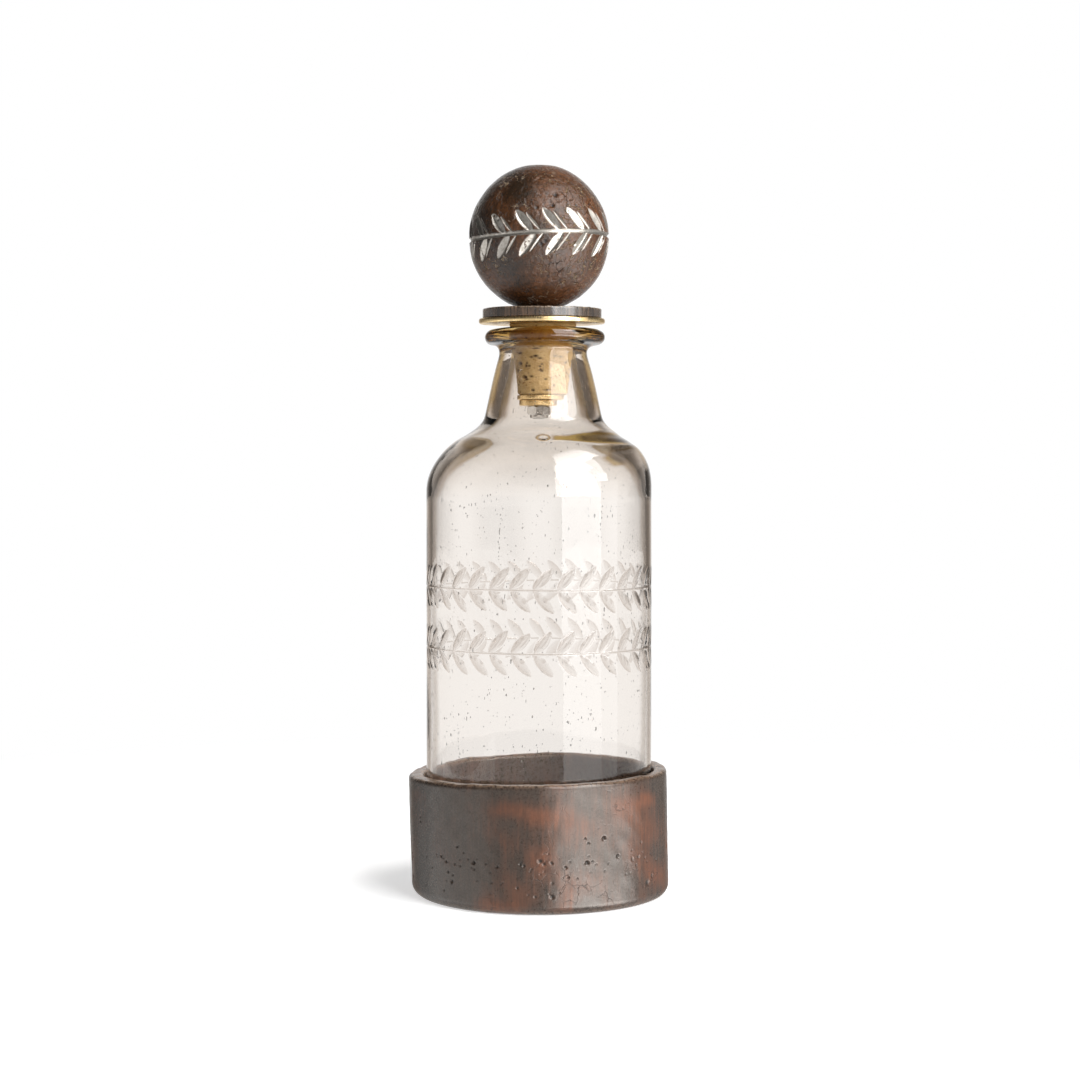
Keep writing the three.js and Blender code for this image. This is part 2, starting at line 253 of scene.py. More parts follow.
def greyOf(tree, value):
    return put(tree, "CombineColor", None, {0: value, 1: value, 2: value}).outputs[0]


def ramp(tree, value, low, high, toLow=0.0, toHigh=1.0):
    return put(tree, "MapRange", {"interpolation_type": "SMOOTHSTEP"},
               {0: value, 1: low, 2: high, 3: toLow, 4: toHigh}).outputs[0]


def noise(tree, point, scale, detail, rough=0.5, bend=0.0, colour=False):
    node = put(tree, "TexNoise", None, {"Vector": point, "Scale": scale, "Detail": detail,
                                        "Roughness": rough, "Distortion": bend})
    return node.outputs["Color" if colour else 0]


def bentPoint(tree, point, scale, detail, amount):  # point pushed about by a noise
    push = noise(tree, point, scale, detail, colour=True)
    sockets = {0: push, 1: (amount,) * 3, 2: point}
    return put(tree, "VectorMath", {"operation": "MULTIPLY_ADD"}, sockets).outputs[0]


def cellEdges(tree, point, scale):
    sockets = {"Vector": point, "Scale": scale}
    return put(tree, "TexVoronoi", {"feature": "DISTANCE_TO_EDGE"}, sockets).outputs[0]


def mask(tree, label):
    return put(tree, "Attribute", {"attribute_name": label}).outputs["Fac"]


def objectPoint(tree, stretch=(1, 1, 1)):  # metres in the piece's own space
    space = put(tree, "TexCoord").outputs["Object"]
    return put(tree, "Mapping", None, {0: space, "Scale": stretch}).outputs[0]


def startMaterial(name):
    material = bpy.data.materials.new(name)
    material.use_nodes = True
    tree = material.node_tree
    return material, tree, tree.nodes["Principled BSDF"]


def finishMaterial(tree, shader, colour, rough, height, strength, depth):
    bump = put(tree, "Bump", None, {"Height": height, "Strength": strength, "Distance": depth})
    tree.links.new(colour, shader.inputs["Base Color"])
    tree.links.new(rough, shader.inputs["Roughness"])
    tree.links.new(bump.outputs[0], shader.inputs["Normal"])


def rgb(r, g, b):
    return (r, g, b, 1.0)


def startGroup(name, inputs):
    group = bpy.data.node_groups.new(name, "ShaderNodeTree")
    for label, kind, value in inputs:
        socket = group.interface.new_socket(name=label, in_out="INPUT", socket_type="NodeSocket" + kind)
        if value is not None:
            socket.default_value = value
    for label, kind in (("Colour", "Color"), ("Gloss", "Float"), ("Height", "Float")):
        group.interface.new_socket(name=label, in_out="OUTPUT", socket_type="NodeSocket" + kind)
    return group, group.nodes.new("NodeGroupInput").outputs, group.nodes.new("NodeGroupOutput").inputs


def endGroup(group, end, colour, gloss, height):
    group.links.new(colour, end["Colour"])
    group.links.new(gloss, end["Gloss"])
    group.links.new(height, end["Height"])
    return group


def useGroup(tree, group, sockets):
    return put(tree, "Group", {"node_tree": group}, sockets).outputs


# stained wood: dark stain over red wood, rubbed through in patches, with grain and cracks, and darkened in
# the pits and cracks

stain = dict(
    fineScale=16.0, crackScale=3.4,  # times the scale of the patches
    crackBend=0.006, crackWidth=0.035, crackDark=0.75, holeDark=rgb(0.008, 0.006, 0.005),
    cloudShow=1.1, grainShow=1.0, streak=(0.84, 1.14), speck=(0.86, 1.12),
    fineGloss=(-0.05, 0.09), patchGloss=0.1, holeGloss=0.3, grainHeight=0.28, fineHeight=0.5, crackHeight=0.9,
)


def stainedWood():
    g, start, end = startGroup("stainedWood", (
        ("Vector", "Vector", None), ("Stain", "Color", rgb(0.03, 0.023, 0.02)),
        ("Wood", "Color", rgb(0.2, 0.06, 0.03)), ("Worn", "Color", rgb(0.3, 0.17, 0.1)),
        ("Rubbed", "Float", 0.3), ("Edge", "Float", 0.0), ("Pit", "Float", 0.0),
        ("Patch", "Float", 60.0), ("Grain", "Float", 900.0), ("Upright", "Float", 0.08)))
    point, patchScale = start["Vector"], start["Patch"]
    stretch = put(g, "CombineXYZ", None, {0: 1.0, 1: 1.0, 2: start["Upright"]}).outputs[0]
    upright = put(g, "VectorMath", {"operation": "MULTIPLY"}, {0: point, 1: stretch}).outputs[0]
    grain = noise(g, upright, start["Grain"], 6.0, 0.62, 0.3)
    cloud = noise(g, point, patchScale, 5.0, 0.6, 0.8)
    fine = noise(g, point, times(g, patchScale, stain["fineScale"]), 8.0, 0.7)
    crackScale = times(g, patchScale, stain["crackScale"])
    cell = cellEdges(g, bentPoint(g, point, crackScale, 4.0, stain["crackBend"]), crackScale)
    crack = times(g, ramp(g, cell, 0.0, stain["crackWidth"], 1.0, 0.0), ramp(g, cloud, 0.5, 0.68))
    shown = plus(g, start["Rubbed"], times(g, calc(g, "SUBTRACT", cloud, 0.5), stain["cloudShow"]))
    shown = plus(g, shown, times(g, calc(g, "SUBTRACT", grain, 0.5), stain["grainShow"]))
    patch = ramp(g, shown, -0.1, 1.25)
    tone = blendColour(g, patch, start["Stain"], start["Wood"])
    shade = times(g, ramp(g, grain, 0.3, 0.7, *stain["streak"]), ramp(g, fine, 0.35, 0.7, *stain["speck"]))
    tone = blendColour(g, 1.0, tone, greyOf(g, shade), "MULTIPLY")
    rub = times(g, start["Edge"], ramp(g, fine, 0.38, 0.6))
    tone = blendColour(g, rub, tone, start["Worn"])
    # pits and cracks darkened towards near black
    hole = calc(g, "MAXIMUM", start["Pit"], times(g, crack, stain["crackDark"]))
    tone = blendColour(g, hole, tone, stain["holeDark"])
    gloss = plus(g, ramp(g, fine, 0.3, 0.75, *stain["fineGloss"]), times(g, patch, stain["patchGloss"]))
    gloss = plus(g, gloss, times(g, hole, stain["holeGloss"]))
    height = plus(g, times(g, grain, stain["grainHeight"]), times(g, fine, stain["fineHeight"]))
    height = calc(g, "SUBTRACT", height, times(g, crack, stain["crackHeight"]))
    return endGroup(g, end, tone, gloss, height)


# handled metal: rub marks and tarnish for brass and steel

handling = dict(cloudScale=220.0, rubScale=3200.0, rubStretch=0.05, rubTurn=(0.5, 0.3, 0.0), dullGloss=0.35,
                rubGloss=(-0.03, 0.06))


def handledMetal():
    g, start, end = startGroup("handledMetal", (
        ("Vector", "Vector", None), ("Metal", "Color", rgb(0.8, 0.6, 0.3)),
        ("Tarnish", "Color", rgb(0.4, 0.25, 0.1)), ("Amount", "Float", 0.3), ("Gloss", "Float", 0.2)))
    point = start["Vector"]
    cloud = noise(g, point, handling["cloudScale"], 6.0, 0.65)
    thin = put(g, "Mapping", None, {0: point, "Scale": (1.0, 1.0, handling["rubStretch"]),
                                    "Rotation": handling["rubTurn"]}).outputs[0]
    rub = noise(g, thin, handling["rubScale"], 3.0)
    dull = times(g, ramp(g, cloud, 0.42, 0.7), start["Amount"])
    tone = blendColour(g, dull, start["Metal"], start["Tarnish"])
    gloss = plus(g, start["Gloss"], times(g, dull, handling["dullGloss"]))
    gloss = plus(g, gloss, ramp(g, rub, 0.4, 0.7, *handling["rubGloss"]))
    return endGroup(g, end, tone, gloss, plus(g, rub, cloud))


woodGroup = stainedWood()
metalGroup = handledMetal()
print("node groups made")


def metalMaterial(name, finish, bump):
    material, tree, shader = startMaterial(name)
    look = useGroup(tree, metalGroup, {"Vector": objectPoint(tree), **finish})
    shader.inputs["Metallic"].default_value = 1.0
    finishMaterial(tree, shader, look["Colour"], look["Gloss"], look["Height"], *bump)
    return material


# glass bottle

bottle = dict(
    radius=51.5, wall=2.5, floor=7.0, heel=6.0, innerHeel=9.0, punt=2.5, puntRadius=36.0,
    shoulderHeight=173.3, shoulder=27.0, sweep=62.0, shoulderThick=4.0,
    neckRise=9.9, neckFoot=26.7, neckWall=6.2, neckLength=28.0, neckLean=11.5, throatLean=19.0,
    throatDepth=11.0, throatWall=5.7, lipOver=7.8, lipHeight=6.6, mouthRound=1.6,
    boreMouth=15.3, boreThroat=14.08, softenOuter=14, softenBore=24, axisGap=0.4, cols=800,
    neckShift=1.9, neckShiftSpan=(172, 197),  # blown by hand: the neck stands a little to the right
    lipShift=0.8, lipShiftSpan=(236, 242), lipShiftWide=(17, 22),  # and the lip more so
    # unevenness: size on the body and more on the neck; seed, count and lengths of its waves
    outerWave=(0.04, 0.1), outerRipple=(3, 14, 90, 26), innerWave=(0.07, 0.12), innerRipple=(8, 16, 90, 22),
    neckSpan=(176, 198), footSpan=(3, 12), mouthSpan=(228, 236),
    lipWave=0.09, lipSpan=(236, 240), lipWide=(18, 22), lipRipple=(19, 18, 24, 7),
    # a fold in the glass on the right of the shoulder, and a burst bubble where it starts, coloured gold as a
    # painted reflection and dark further right as painted shade; spans in degrees
    foldHeight=196.2, foldDepth=0.45, foldThick=1.4, foldSwell=1.2, foldSwellSpan=(10, 45),
    foldStart=(2, 9), foldEnd=(95, 130), foldShadeTurn=(16, 30),
    bubbleSize=(4.1, 1.3), bubbleRim=0.9, bubbleThin=0.3,
    # two vines cut into the wall; the leaves and stems are also darkened in the glass colour as painted shade
    stems=(129.4, 101.9), stemDepth=0.15, stemWidth=0.32, stemWave=0.25, stemReach=0.9, stemStep=0.15,
    leafReach=11.5, leafStep=0.34, leafShade=0.8, stemShade=0.17, groundDepth=0.12,
    vineSpan=(60, 165), vineSeed=5, plainBelow=(90, 6.0), plainAbove=(146, 5.0),
    vine=dict(pairs=32, length=12.8, width=4.4, depth=0.27, leanUp=49, leanDown=47, lowerShift=0.2, gap=0.2,
              growth=1, wander=0.45, point=0.7, round=2.0, skew=0.25, first=-2.7, strokes=((0, 1, 1, 1),)),
    # air seeds: share of them and height span, and strings of them by turn, low end, high end and count
    airSeed=41, seeds=1700, seedSpans=((0.7, 24, 168), (0.3, 168, 236)), seedSize=(-1.7, 0.35),
    seedLimits=(0.1, 0.38), seedLong=(1.2, 0.7), seedTallest=1.1, seedIn=0.55, seedSkin=1.75,
    strings=((-110.5, 143, 164, 15), (-58.0, 150, 172, 9), (140.0, 40, 62, 12)), stringDrift=0.0016,
    stringStray=(0.4, 0.006), stringSize=(0.16, 0.34), stringLong=(1.2, 2.6),
    # glass colours, and the heights in metres over which they change
    ior=1.5, tint=rgb(0.98, 0.89, 0.8), tintDensity=60.0, paintedShade=rgb(0.45, 0.37, 0.31),
    face=rgb(0.968, 0.956, 0.944), upperFace=rgb(0.9, 0.882, 0.862), lipFace=rgb(0.5, 0.33, 0.085),
    rim=rgb(0.4, 0.34, 0.29), upperRim=rgb(0.29, 0.18, 0.06), lipRim=rgb(0.2, 0.12, 0.04),
    foldPaintedReflection=rgb(0.3, 0.165, 0.025), foldPaintedShade=rgb(0.045, 0.023, 0.005),
    upperAt=(0.188, 0.204), lipAt=(0.2475, 0.2515), edgeAt=(0.213, 0.225), puckerAt=(0.21, 0.224),
    bodyEdge=(0.62, 0.78), neckEdge=(0.36, 0.56), smearScale=500.0, groundRough=(0.07, 0.12),
    cordScale=70.0, cordStretch=0.25, cords=0.25, puckerScale=300.0, pucker=0.13, bump=(0.5, 0.0006),
)
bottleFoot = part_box("glass_bottle")[0].z / mm


def neckOffset(height):  # sideways drift of the neck, by height in the bottle
    return bottle["neckShift"] * ease(height, *bottle["neckShiftSpan"])


def bottleRows():
    b = bottle
    top = b["shoulderHeight"]
    turn = math.radians(b["sweep"])
    end = np.array([b["radius"] - b["shoulder"] * (1 - math.cos(turn)), top + b["shoulder"] * math.sin(turn)])
    neckFoot = np.array([b["neckFoot"], end[1] + b["neckRise"]])
    throatZ = neckFoot[1] + b["neckLength"]
    mouth = throatZ + b["throatDepth"]
    throat = np.array([b["boreThroat"] + b["throatWall"], throatZ])
    under = mouth - b["lipHeight"]
    lipRound = b["lipHeight"] / 2
    lipAt = throat[0] + b["lipOver"] - lipRound
    bend = tangentCorner(end, b["sweep"], neckFoot, b["neckLean"])
    waist = tangentCorner(neckFoot, b["neckLean"], throat, b["throatLean"])
    heel = b["radius"] - b["heel"]
    wallZ = [np.arange(b["heel"], *b["plainBelow"])]
    for stem in sorted(b["stems"]):  # fine rows where the leaves are cut
        wallZ += [stem + np.arange(-b["leafReach"], -b["stemReach"], b["leafStep"]),
                  stem + np.arange(-b["stemReach"], b["stemReach"], b["stemStep"]),
                  stem + np.arange(b["stemReach"], b["leafReach"] + 0.1, b["leafStep"])]
    wallZ += [np.arange(b["plainAbove"][0], top, b["plainAbove"][1]), [top]]
    wallZ = np.unique(np.round(np.concatenate(wallZ), 3))
    upper = joinRows(
        curveRows(end, bend, neckFoot, 30), curveRows(neckFoot, waist, throat, 26),
        curveRows(throat, (throat[0], under), (lipAt, under), 16),
        arcRows(lipAt, mouth - lipRound, lipRound, -90, 90, 26))
    soften(upper, b["softenOuter"])
    shoulderAt = b["radius"] - b["shoulder"]
    outer = joinRows(
        curveRows((b["axisGap"], b["punt"]), (b["puntRadius"] / 2, b["punt"]), (b["puntRadius"], 0), 8),
        lineRows((b["puntRadius"], 0), (heel, 0), 3), arcRows(heel, b["heel"], b["heel"], -90, 0, 10),
        np.column_stack([np.full(len(wallZ), b["radius"]), wallZ]),
        arcRows(shoulderAt, top, b["shoulder"], 0, b["sweep"] - 14, 22),
        arcRows(shoulderAt, top, b["shoulder"], b["sweep"] - 14, b["sweep"], 20), upper)
    innerRadius = b["radius"] - b["wall"]
    innerTop = top - b["shoulderThick"]
    innerEnd = end - (b["wall"], b["shoulderThick"])
    innerFoot = np.array([b["neckFoot"] - b["neckWall"], neckFoot[1]])
    lean = math.degrees(math.atan2(innerFoot[0] - b["boreThroat"], b["neckLength"]))
    innerBend = tangentCorner(innerEnd, b["sweep"], innerFoot, lean)
    innerHeel = innerRadius - b["innerHeel"]
    heelTop = b["floor"] + b["innerHeel"]
    mouthAt = b["boreMouth"] + b["mouthRound"]
    bore = joinRows(
        lineRows((b["boreMouth"], mouth - b["mouthRound"]), (b["boreThroat"], throatZ), 8),
        lineRows((b["boreThroat"], throatZ), innerFoot, 34), curveRows(innerFoot, innerBend, innerEnd, 24),
        arcRows(innerRadius - b["shoulder"], innerTop, b["shoulder"], b["sweep"], 0, 26))
    soften(bore, b["softenBore"])
    inner = joinRows(
        lineRows((lipAt, mouth), (mouthAt, mouth), 5),
        arcRows(mouthAt, mouth - b["mouthRound"], b["mouthRound"], 90, 180, 7), bore,
        lineRows((innerRadius, innerTop), (innerRadius, heelTop), 32),
        arcRows(innerHeel, heelTop, b["innerHeel"], 0, -90, 12),
        lineRows((innerHeel, b["floor"]), (b["axisGap"], b["floor"]), 6))
    return outer, inner


def seedBubbles(outer, inner):
    # air seeds in the glass: small stretched hollows, most of them drawn out upwards, and strings of them
    b = bottle
    rng = np.random.default_rng(b["airSeed"])
    i, k = np.arange(5), (np.arange(5) + 1) % 5
    turn = i * tau / 5
    upper, lower = (np.column_stack([0.8944 * np.cos(t), 0.8944 * np.sin(t), z + 0 * t])
                    for t, z in ((turn, 0.447), (turn + tau / 10, -0.447)))
    base = np.round(np.vstack([(0, 0, 1), upper, lower, (0, 0, -1)]), 3)  # twelve corners, twenty faces
    tris = np.vstack([np.column_stack(corners) for corners in (
        (0 * i, i + 1, k + 1), (i + 1, i + 6, k + 1), (i + 6, k + 6, k + 1), (0 * i + 11, k + 6, i + 6))])
    wallFoot = 20  # above the heel
    rise = outer[np.argmax(outer[:, 1] > wallFoot):]
    rise = rise[: np.argmax(rise[:, 1])]
    fall = inner[::-1]
    fall = fall[fall[:, 1] > wallFoot]
    height = [rng.uniform(low, high, int(b["seeds"] * share)) for share, low, high in b["seedSpans"]]
    height = np.concatenate(height)
    turn = rng.uniform(0, tau, len(height))
    size = np.clip(rng.lognormal(*b["seedSize"], len(height)), *b["seedLimits"])
    long = 1 + rng.gamma(*b["seedLong"], len(height))
    up, aside = b["stringStray"]
    for turnAt, low, high, count in b["strings"]:
        line = np.linspace(low, high, count) + rng.normal(0, up, count)
        height = np.r_[height, line]
        drift = rng.normal(0, aside, count) + b["stringDrift"] * (line - low)
        turn = np.r_[turn, math.radians(turnAt) + drift]
        size = np.r_[size, rng.uniform(*b["stringSize"], count)]
        long = np.r_[long, rng.uniform(*b["stringLong"], count)]
    outAt = np.interp(height, np.maximum.accumulate(rise[:, 1]), rise[:, 0])
    inAt = np.interp(height, np.maximum.accumulate(fall[:, 1]), fall[:, 0])
    at = inAt + b["seedIn"] + rng.random(len(height)) * np.clip(outAt - inAt - b["seedSkin"], 0.1, None)
    points, faces = [], []
    for h, a, s, l, r in zip(height, turn, size, long, at):
        shape = base * (s, s, min(s * l, b["seedTallest"]))
        place = (r * math.cos(a) + neckOffset(h), r * math.sin(a), h)
        faces.append(tris[:, ::-1] + len(base) * len(points))  # turned inside out: a hollow, not a bead
        points.append(shape + place)
    return np.vstack(points), np.vstack(faces)


def glassMaterial():
    b = bottle
    material, tree, shader = startMaterial("seeded glass")
    shader.inputs["Transmission Weight"].default_value = 1.0
    shader.inputs["IOR"].default_value = b["ior"]
    point = objectPoint(tree)
    height = put(tree, "SeparateXYZ", None, {0: point}).outputs[2]
    level = put(tree, "SeparateXYZ", None, {0: put(tree, "NewGeometry").outputs["Normal"]})
    level = put(tree, "CombineXYZ", None, {0: level.outputs[0], 1: level.outputs[1]}).outputs[0]
    level = put(tree, "VectorMath", {"operation": "NORMALIZE"}, {0: level}).outputs[0]
    facing = put(tree, "LayerWeight", None, {"Blend": 0.5, "Normal": level}).outputs["Facing"]
    upper = ramp(tree, height, *b["upperAt"])  # neck and lip more golden: partly the thicker glass, partly a painted reflection of the cork and brass
    lip = ramp(tree, height, *b["lipAt"])
    fold = mask(tree, "fold")
    face = blendColour(tree, upper, b["face"], b["upperFace"])
    # the fold coloured gold as a painted reflection, then dark as painted shade
    face = blendColour(tree, ramp(tree, fold, 0.0, 0.5), face, b["foldPaintedReflection"])
    face = blendColour(tree, ramp(tree, fold, 0.5, 1.0), face, b["foldPaintedShade"])
    face = blendColour(tree, lip, face, b["lipFace"])
    # rims seen edge-on, by the level facing, are darker as painted shade, partly standing for the longer path
    # through the glass; golden in the neck as painted reflection
    rim = blendColour(tree, upper, b["rim"], b["upperRim"])
    rim = blendColour(tree, lip, rim, b["lipRim"])
    edge = blendValue(tree, ramp(tree, height, *b["edgeAt"]), ramp(tree, facing, *b["bodyEdge"]),
                      ramp(tree, facing, *b["neckEdge"]))
    tone = blendColour(tree, edge, face, rim)
    # painted shade in the cut leaves and stems
    tone = blendColour(tree, mask(tree, "shade"), tone, b["paintedShade"])
    smear = noise(tree, point, b["smearScale"], 4.0)
    rough = times(tree, mask(tree, "cut"), ramp(tree, smear, 0.3, 0.7, *b["groundRough"]))  # not polished
    cords = noise(tree, objectPoint(tree, (1, 1, b["cordStretch"])), b["cordScale"], 2.0)
    pucker = noise(tree, point, b["puckerScale"], 2.0)
    pucker = times(tree, pucker, ramp(tree, height, *b["puckerAt"], 0.0, b["pucker"]))
    lumps = plus(tree, times(tree, cords, b["cords"]), pucker)
    finishMaterial(tree, shader, tone, rough, lumps, *b["bump"])
    absorb = put(tree, "VolumeAbsorption", None, {"Color": b["tint"], "Density": b["tintDensity"]})
    tree.links.new(absorb.outputs[0], tree.nodes["Material Output"].inputs["Volume"])
    return material


def makeBottle():
    b = bottle
    outer, inner = bottleRows()
    rows = np.vstack([outer, inner[1:]])
    grid, normal = spin(rows, b["cols"])
    turn, wide, high = bearing(grid), rows[:, 0][:, None], rows[:, 1][:, None]
    outside = np.arange(len(rows)) < len(outer)
    vine = dict(b["vine"], pitch=tau * b["radius"] / b["vine"]["pairs"])
    along = np.radians(turn - vine["first"]) * b["radius"]
    cut, shade = np.zeros(grid.shape[:2]), np.zeros(grid.shape[:2])
    vineLow, vineHigh = b["vineSpan"]
    onWall = outside & (rows[:, 1] > vineLow) & (rows[:, 1] < vineHigh)
    for n, stem in enumerate(b["stems"]):
        away = high[onWall] - stem + b["stemWave"] * np.sin(np.radians(turn[onWall]) * 2 + n)
        leaves, paintedLeafShade = leafCut(along[onWall], away, vine, b["vineSeed"] + n)
        stemCut = b["stemDepth"] * bell(away, 0, b["stemWidth"])
        cut[onWall] = np.maximum(cut[onWall], np.maximum(leaves, stemCut))
        # painted shade: leaves darker towards one edge, stems darker by their depth
        shade[onWall] = np.maximum(shade[onWall], np.maximum(b["leafShade"] * paintedLeafShade, stemCut / b["stemShade"]))
    neck = ease(high, *b["neckSpan"])  # less even there
    outerWave = uneven(grid, b["outerWave"][0] + b["outerWave"][1] * neck, *b["outerRipple"])
    innerWave = uneven(grid, b["innerWave"][0] + b["innerWave"][1] * neck, *b["innerRipple"])
    wave = np.where(outside[:, None], outerWave, innerWave)
    wave = wave * ease(high, *b["footSpan"]) * (1 - ease(high, *b["mouthSpan"]))
    onLip = ease(high, *b["lipSpan"]) * ease(wide, *b["lipWide"])
    wave += uneven(grid, b["lipWave"] * onLip, *b["lipRipple"])
    up = high - b["foldHeight"]
    thick = b["foldThick"] + b["foldSwell"] * ease(turn, *b["foldSwellSpan"])
    fold = np.exp(-(up / thick) ** 4) * ease(turn, *b["foldStart"]) * (1 - ease(turn, *b["foldEnd"]))
    bubble = np.hypot(turn / b["bubbleSize"][0], up / b["bubbleSize"][1])
    fold = np.maximum(fold, b["bubbleRim"] * bell(bubble, 1, b["bubbleThin"]))
    fold = np.where(outside[:, None], fold, 0)
    wave -= b["foldDepth"] * fold
    grid = grid + normal * (wave - cut)[..., None]
    onLip = ease(high, *b["lipShiftSpan"]) * ease(wide, *b["lipShiftWide"])
    grid[..., 0] += neckOffset(high) + b["lipShift"] * onLip
    grid[..., 2] += bottleFoot
    points, faces = seedBubbles(outer, inner)
    points[:, 2] += bottleFoot
    # the fold mask turns from painted reflection to painted shade further right
    masks = {"cut": np.clip(cut / b["groundDepth"], 0, 1), "shade": shade,
             "fold": fold * (0.5 + 0.5 * ease(turn, *b["foldShadeTurn"]))}
    piece = gridPiece("bottle_glass", grid, "bottle", "glass_bottle", glassMaterial(),
                      masks=masks, extra=(points, faces))
    piece.visible_shadow = False  # light reaches the cork and the cup through it


makeBottle()
print("bottle made")


# wooden cup

cup = dict(
    radius=58.9, height=56.9, floor=10.7, footRound=4.6, rimRound=1.9, recessRadius=52.5, recessRound=3.0,
    cols=880, step=0.42, axisGap=0.4, lean=1.4, rimDip=2.8, dipFrom=14, seed=23,
    # hand work: size, seed, count and lengths of its waves, and long flats left by the knife
    swell=(0.2, 11, 12, 120, 34), fine=(0.03, 12, 18, 14, 5), inside=(0.1, 14, 12, 60, 14),
    rimWave=(0.16, 17, 14, 30, 6), rimSpan=4, flatTurn=24, flatDepth=0.12, proud=0.25, footSpan=(0.2, 3.0),
    # worm holes and dents on the front: bearing, height, radius, depth
    pits=((-63, 36, 0.7, 1.0), (-63, 38, 0.6, 0.8), (-37.5, 27, 0.55, 0.7), (-34, 24.7, 0.5, 0.6),
          (-29, 20.6, 0.9, 1.2), (-47, 21.5, 0.6, 0.8), (-44, 19.5, 0.6, 0.9), (-43, 15, 0.6, 0.8),
          (-41, 11, 0.8, 1.0), (-39, 19, 0.55, 0.7), (-36, 18.5, 0.5, 0.6), (-18, 19.6, 0.8, 0.7),
          (-8, 21, 0.7, 0.8), (-6.5, 20.4, 0.7, 0.9), (0.5, 22.4, 1.2, 0.9), (2, 21.2, 0.8, 1.0),
          (5, 21.8, 0.6, 0.8), (5, 7, 1.0, 1.0), (-2, 7, 0.7, 0.7), (-9.5, 10.6, 0.7, 0.9),
          (11, 19.5, 0.7, 0.8), (12, 15, 0.6, 0.7), (20, 31.5, 0.6, 0.9), (21.5, 29.4, 0.7, 0.8),
          (29, 31, 1.1, 1.5), (20.5, 21, 1.1, 1.2), (23, 21.5, 0.6, 0.7), (36, 22.7, 0.9, 1.2),
          (31, 20, 0.6, 0.6), (44, 20.5, 0.7, 0.7), (48, 20.8, 0.8, 0.9), (50, 27, 0.6, 0.7),
          (54, 8.5, 1.6, 0.7), (58, 11, 1.0, 0.8), (62, 17.5, 0.7, 0.8)),
    pitLift=1.65, pitSize=0.8, pitWide=1.15, pitDepth=0.75, pitBank=0.05, wearSpan=(5, 50),
    # more at the back, then small ones in front: count, bearings, height and its spread, radii, depths
    wear=((95, (76, 284), (21, 9), (0.4, 1.0), (0.4, 1.1)), (60, (-70, 70), (18, 6), (0.3, 0.5), (0.3, 0.6))),
    # where the red wood shows on the front: bearing, height, half width in degrees, half height, strength
    patches=((-13, 46.5, 12, 4.5, 0.85), (3, 43, 6.5, 5, 1.0), (12, 43, 7, 8, 0.5), (30, 41, 12, 8, 0.3),
             (53, 47, 12, 4, 0.7), (54, 33, 12, 9, 0.45), (1, 28, 8, 8, 0.6), (12, 9, 5, 9, 0.4),
             (-18, 3.5, 12, 4, 0.5), (60, 11, 9, 7, 0.35), (-70, 50, 12, 3, 0.4)),
    # and on the back: the same values as spans
    backCount=16, backPatches=((84, 276), (4, 50), (6, 14), (4, 9), (0.3, 0.9)),
    red=0.2, redWave=(0.2, 31, 14, 60, 12), redPatch=0.75, redInside=0.1, rimWearAndGlint=0.55, footWearAndGlint=0.4,
    unbroken=(-45, 24, 0.5),  # bearing, half width and share of the stain left whole on the left
    finish={"Stain": rgb(0.049, 0.035, 0.027), "Wood": rgb(0.165, 0.056, 0.025), "Worn": rgb(0.3, 0.19, 0.12),
            "Patch": 48.0, "Grain": 620.0, "Upright": 0.09},
    gloss=0.28, specular=0.8, wax=rgb(1.0, 0.94, 0.88), bump=(0.24, 0.0005),
)


def cupMaterial():
    material, tree, shader = startMaterial("waxed dark wood")
    shader.inputs["Specular IOR Level"].default_value = cup["specular"]
    shader.inputs["Specular Tint"].default_value = cup["wax"]
    look = useGroup(tree, woodGroup, {
        "Vector": objectPoint(tree), "Rubbed": mask(tree, "rubbed"), "Edge": mask(tree, "edge"),
        "Pit": mask(tree, "pit"), **cup["finish"]})
    rough = plus(tree, look["Gloss"], cup["gloss"])
    finishMaterial(tree, shader, look["Colour"], rough, look["Height"], *cup["bump"])
    return material


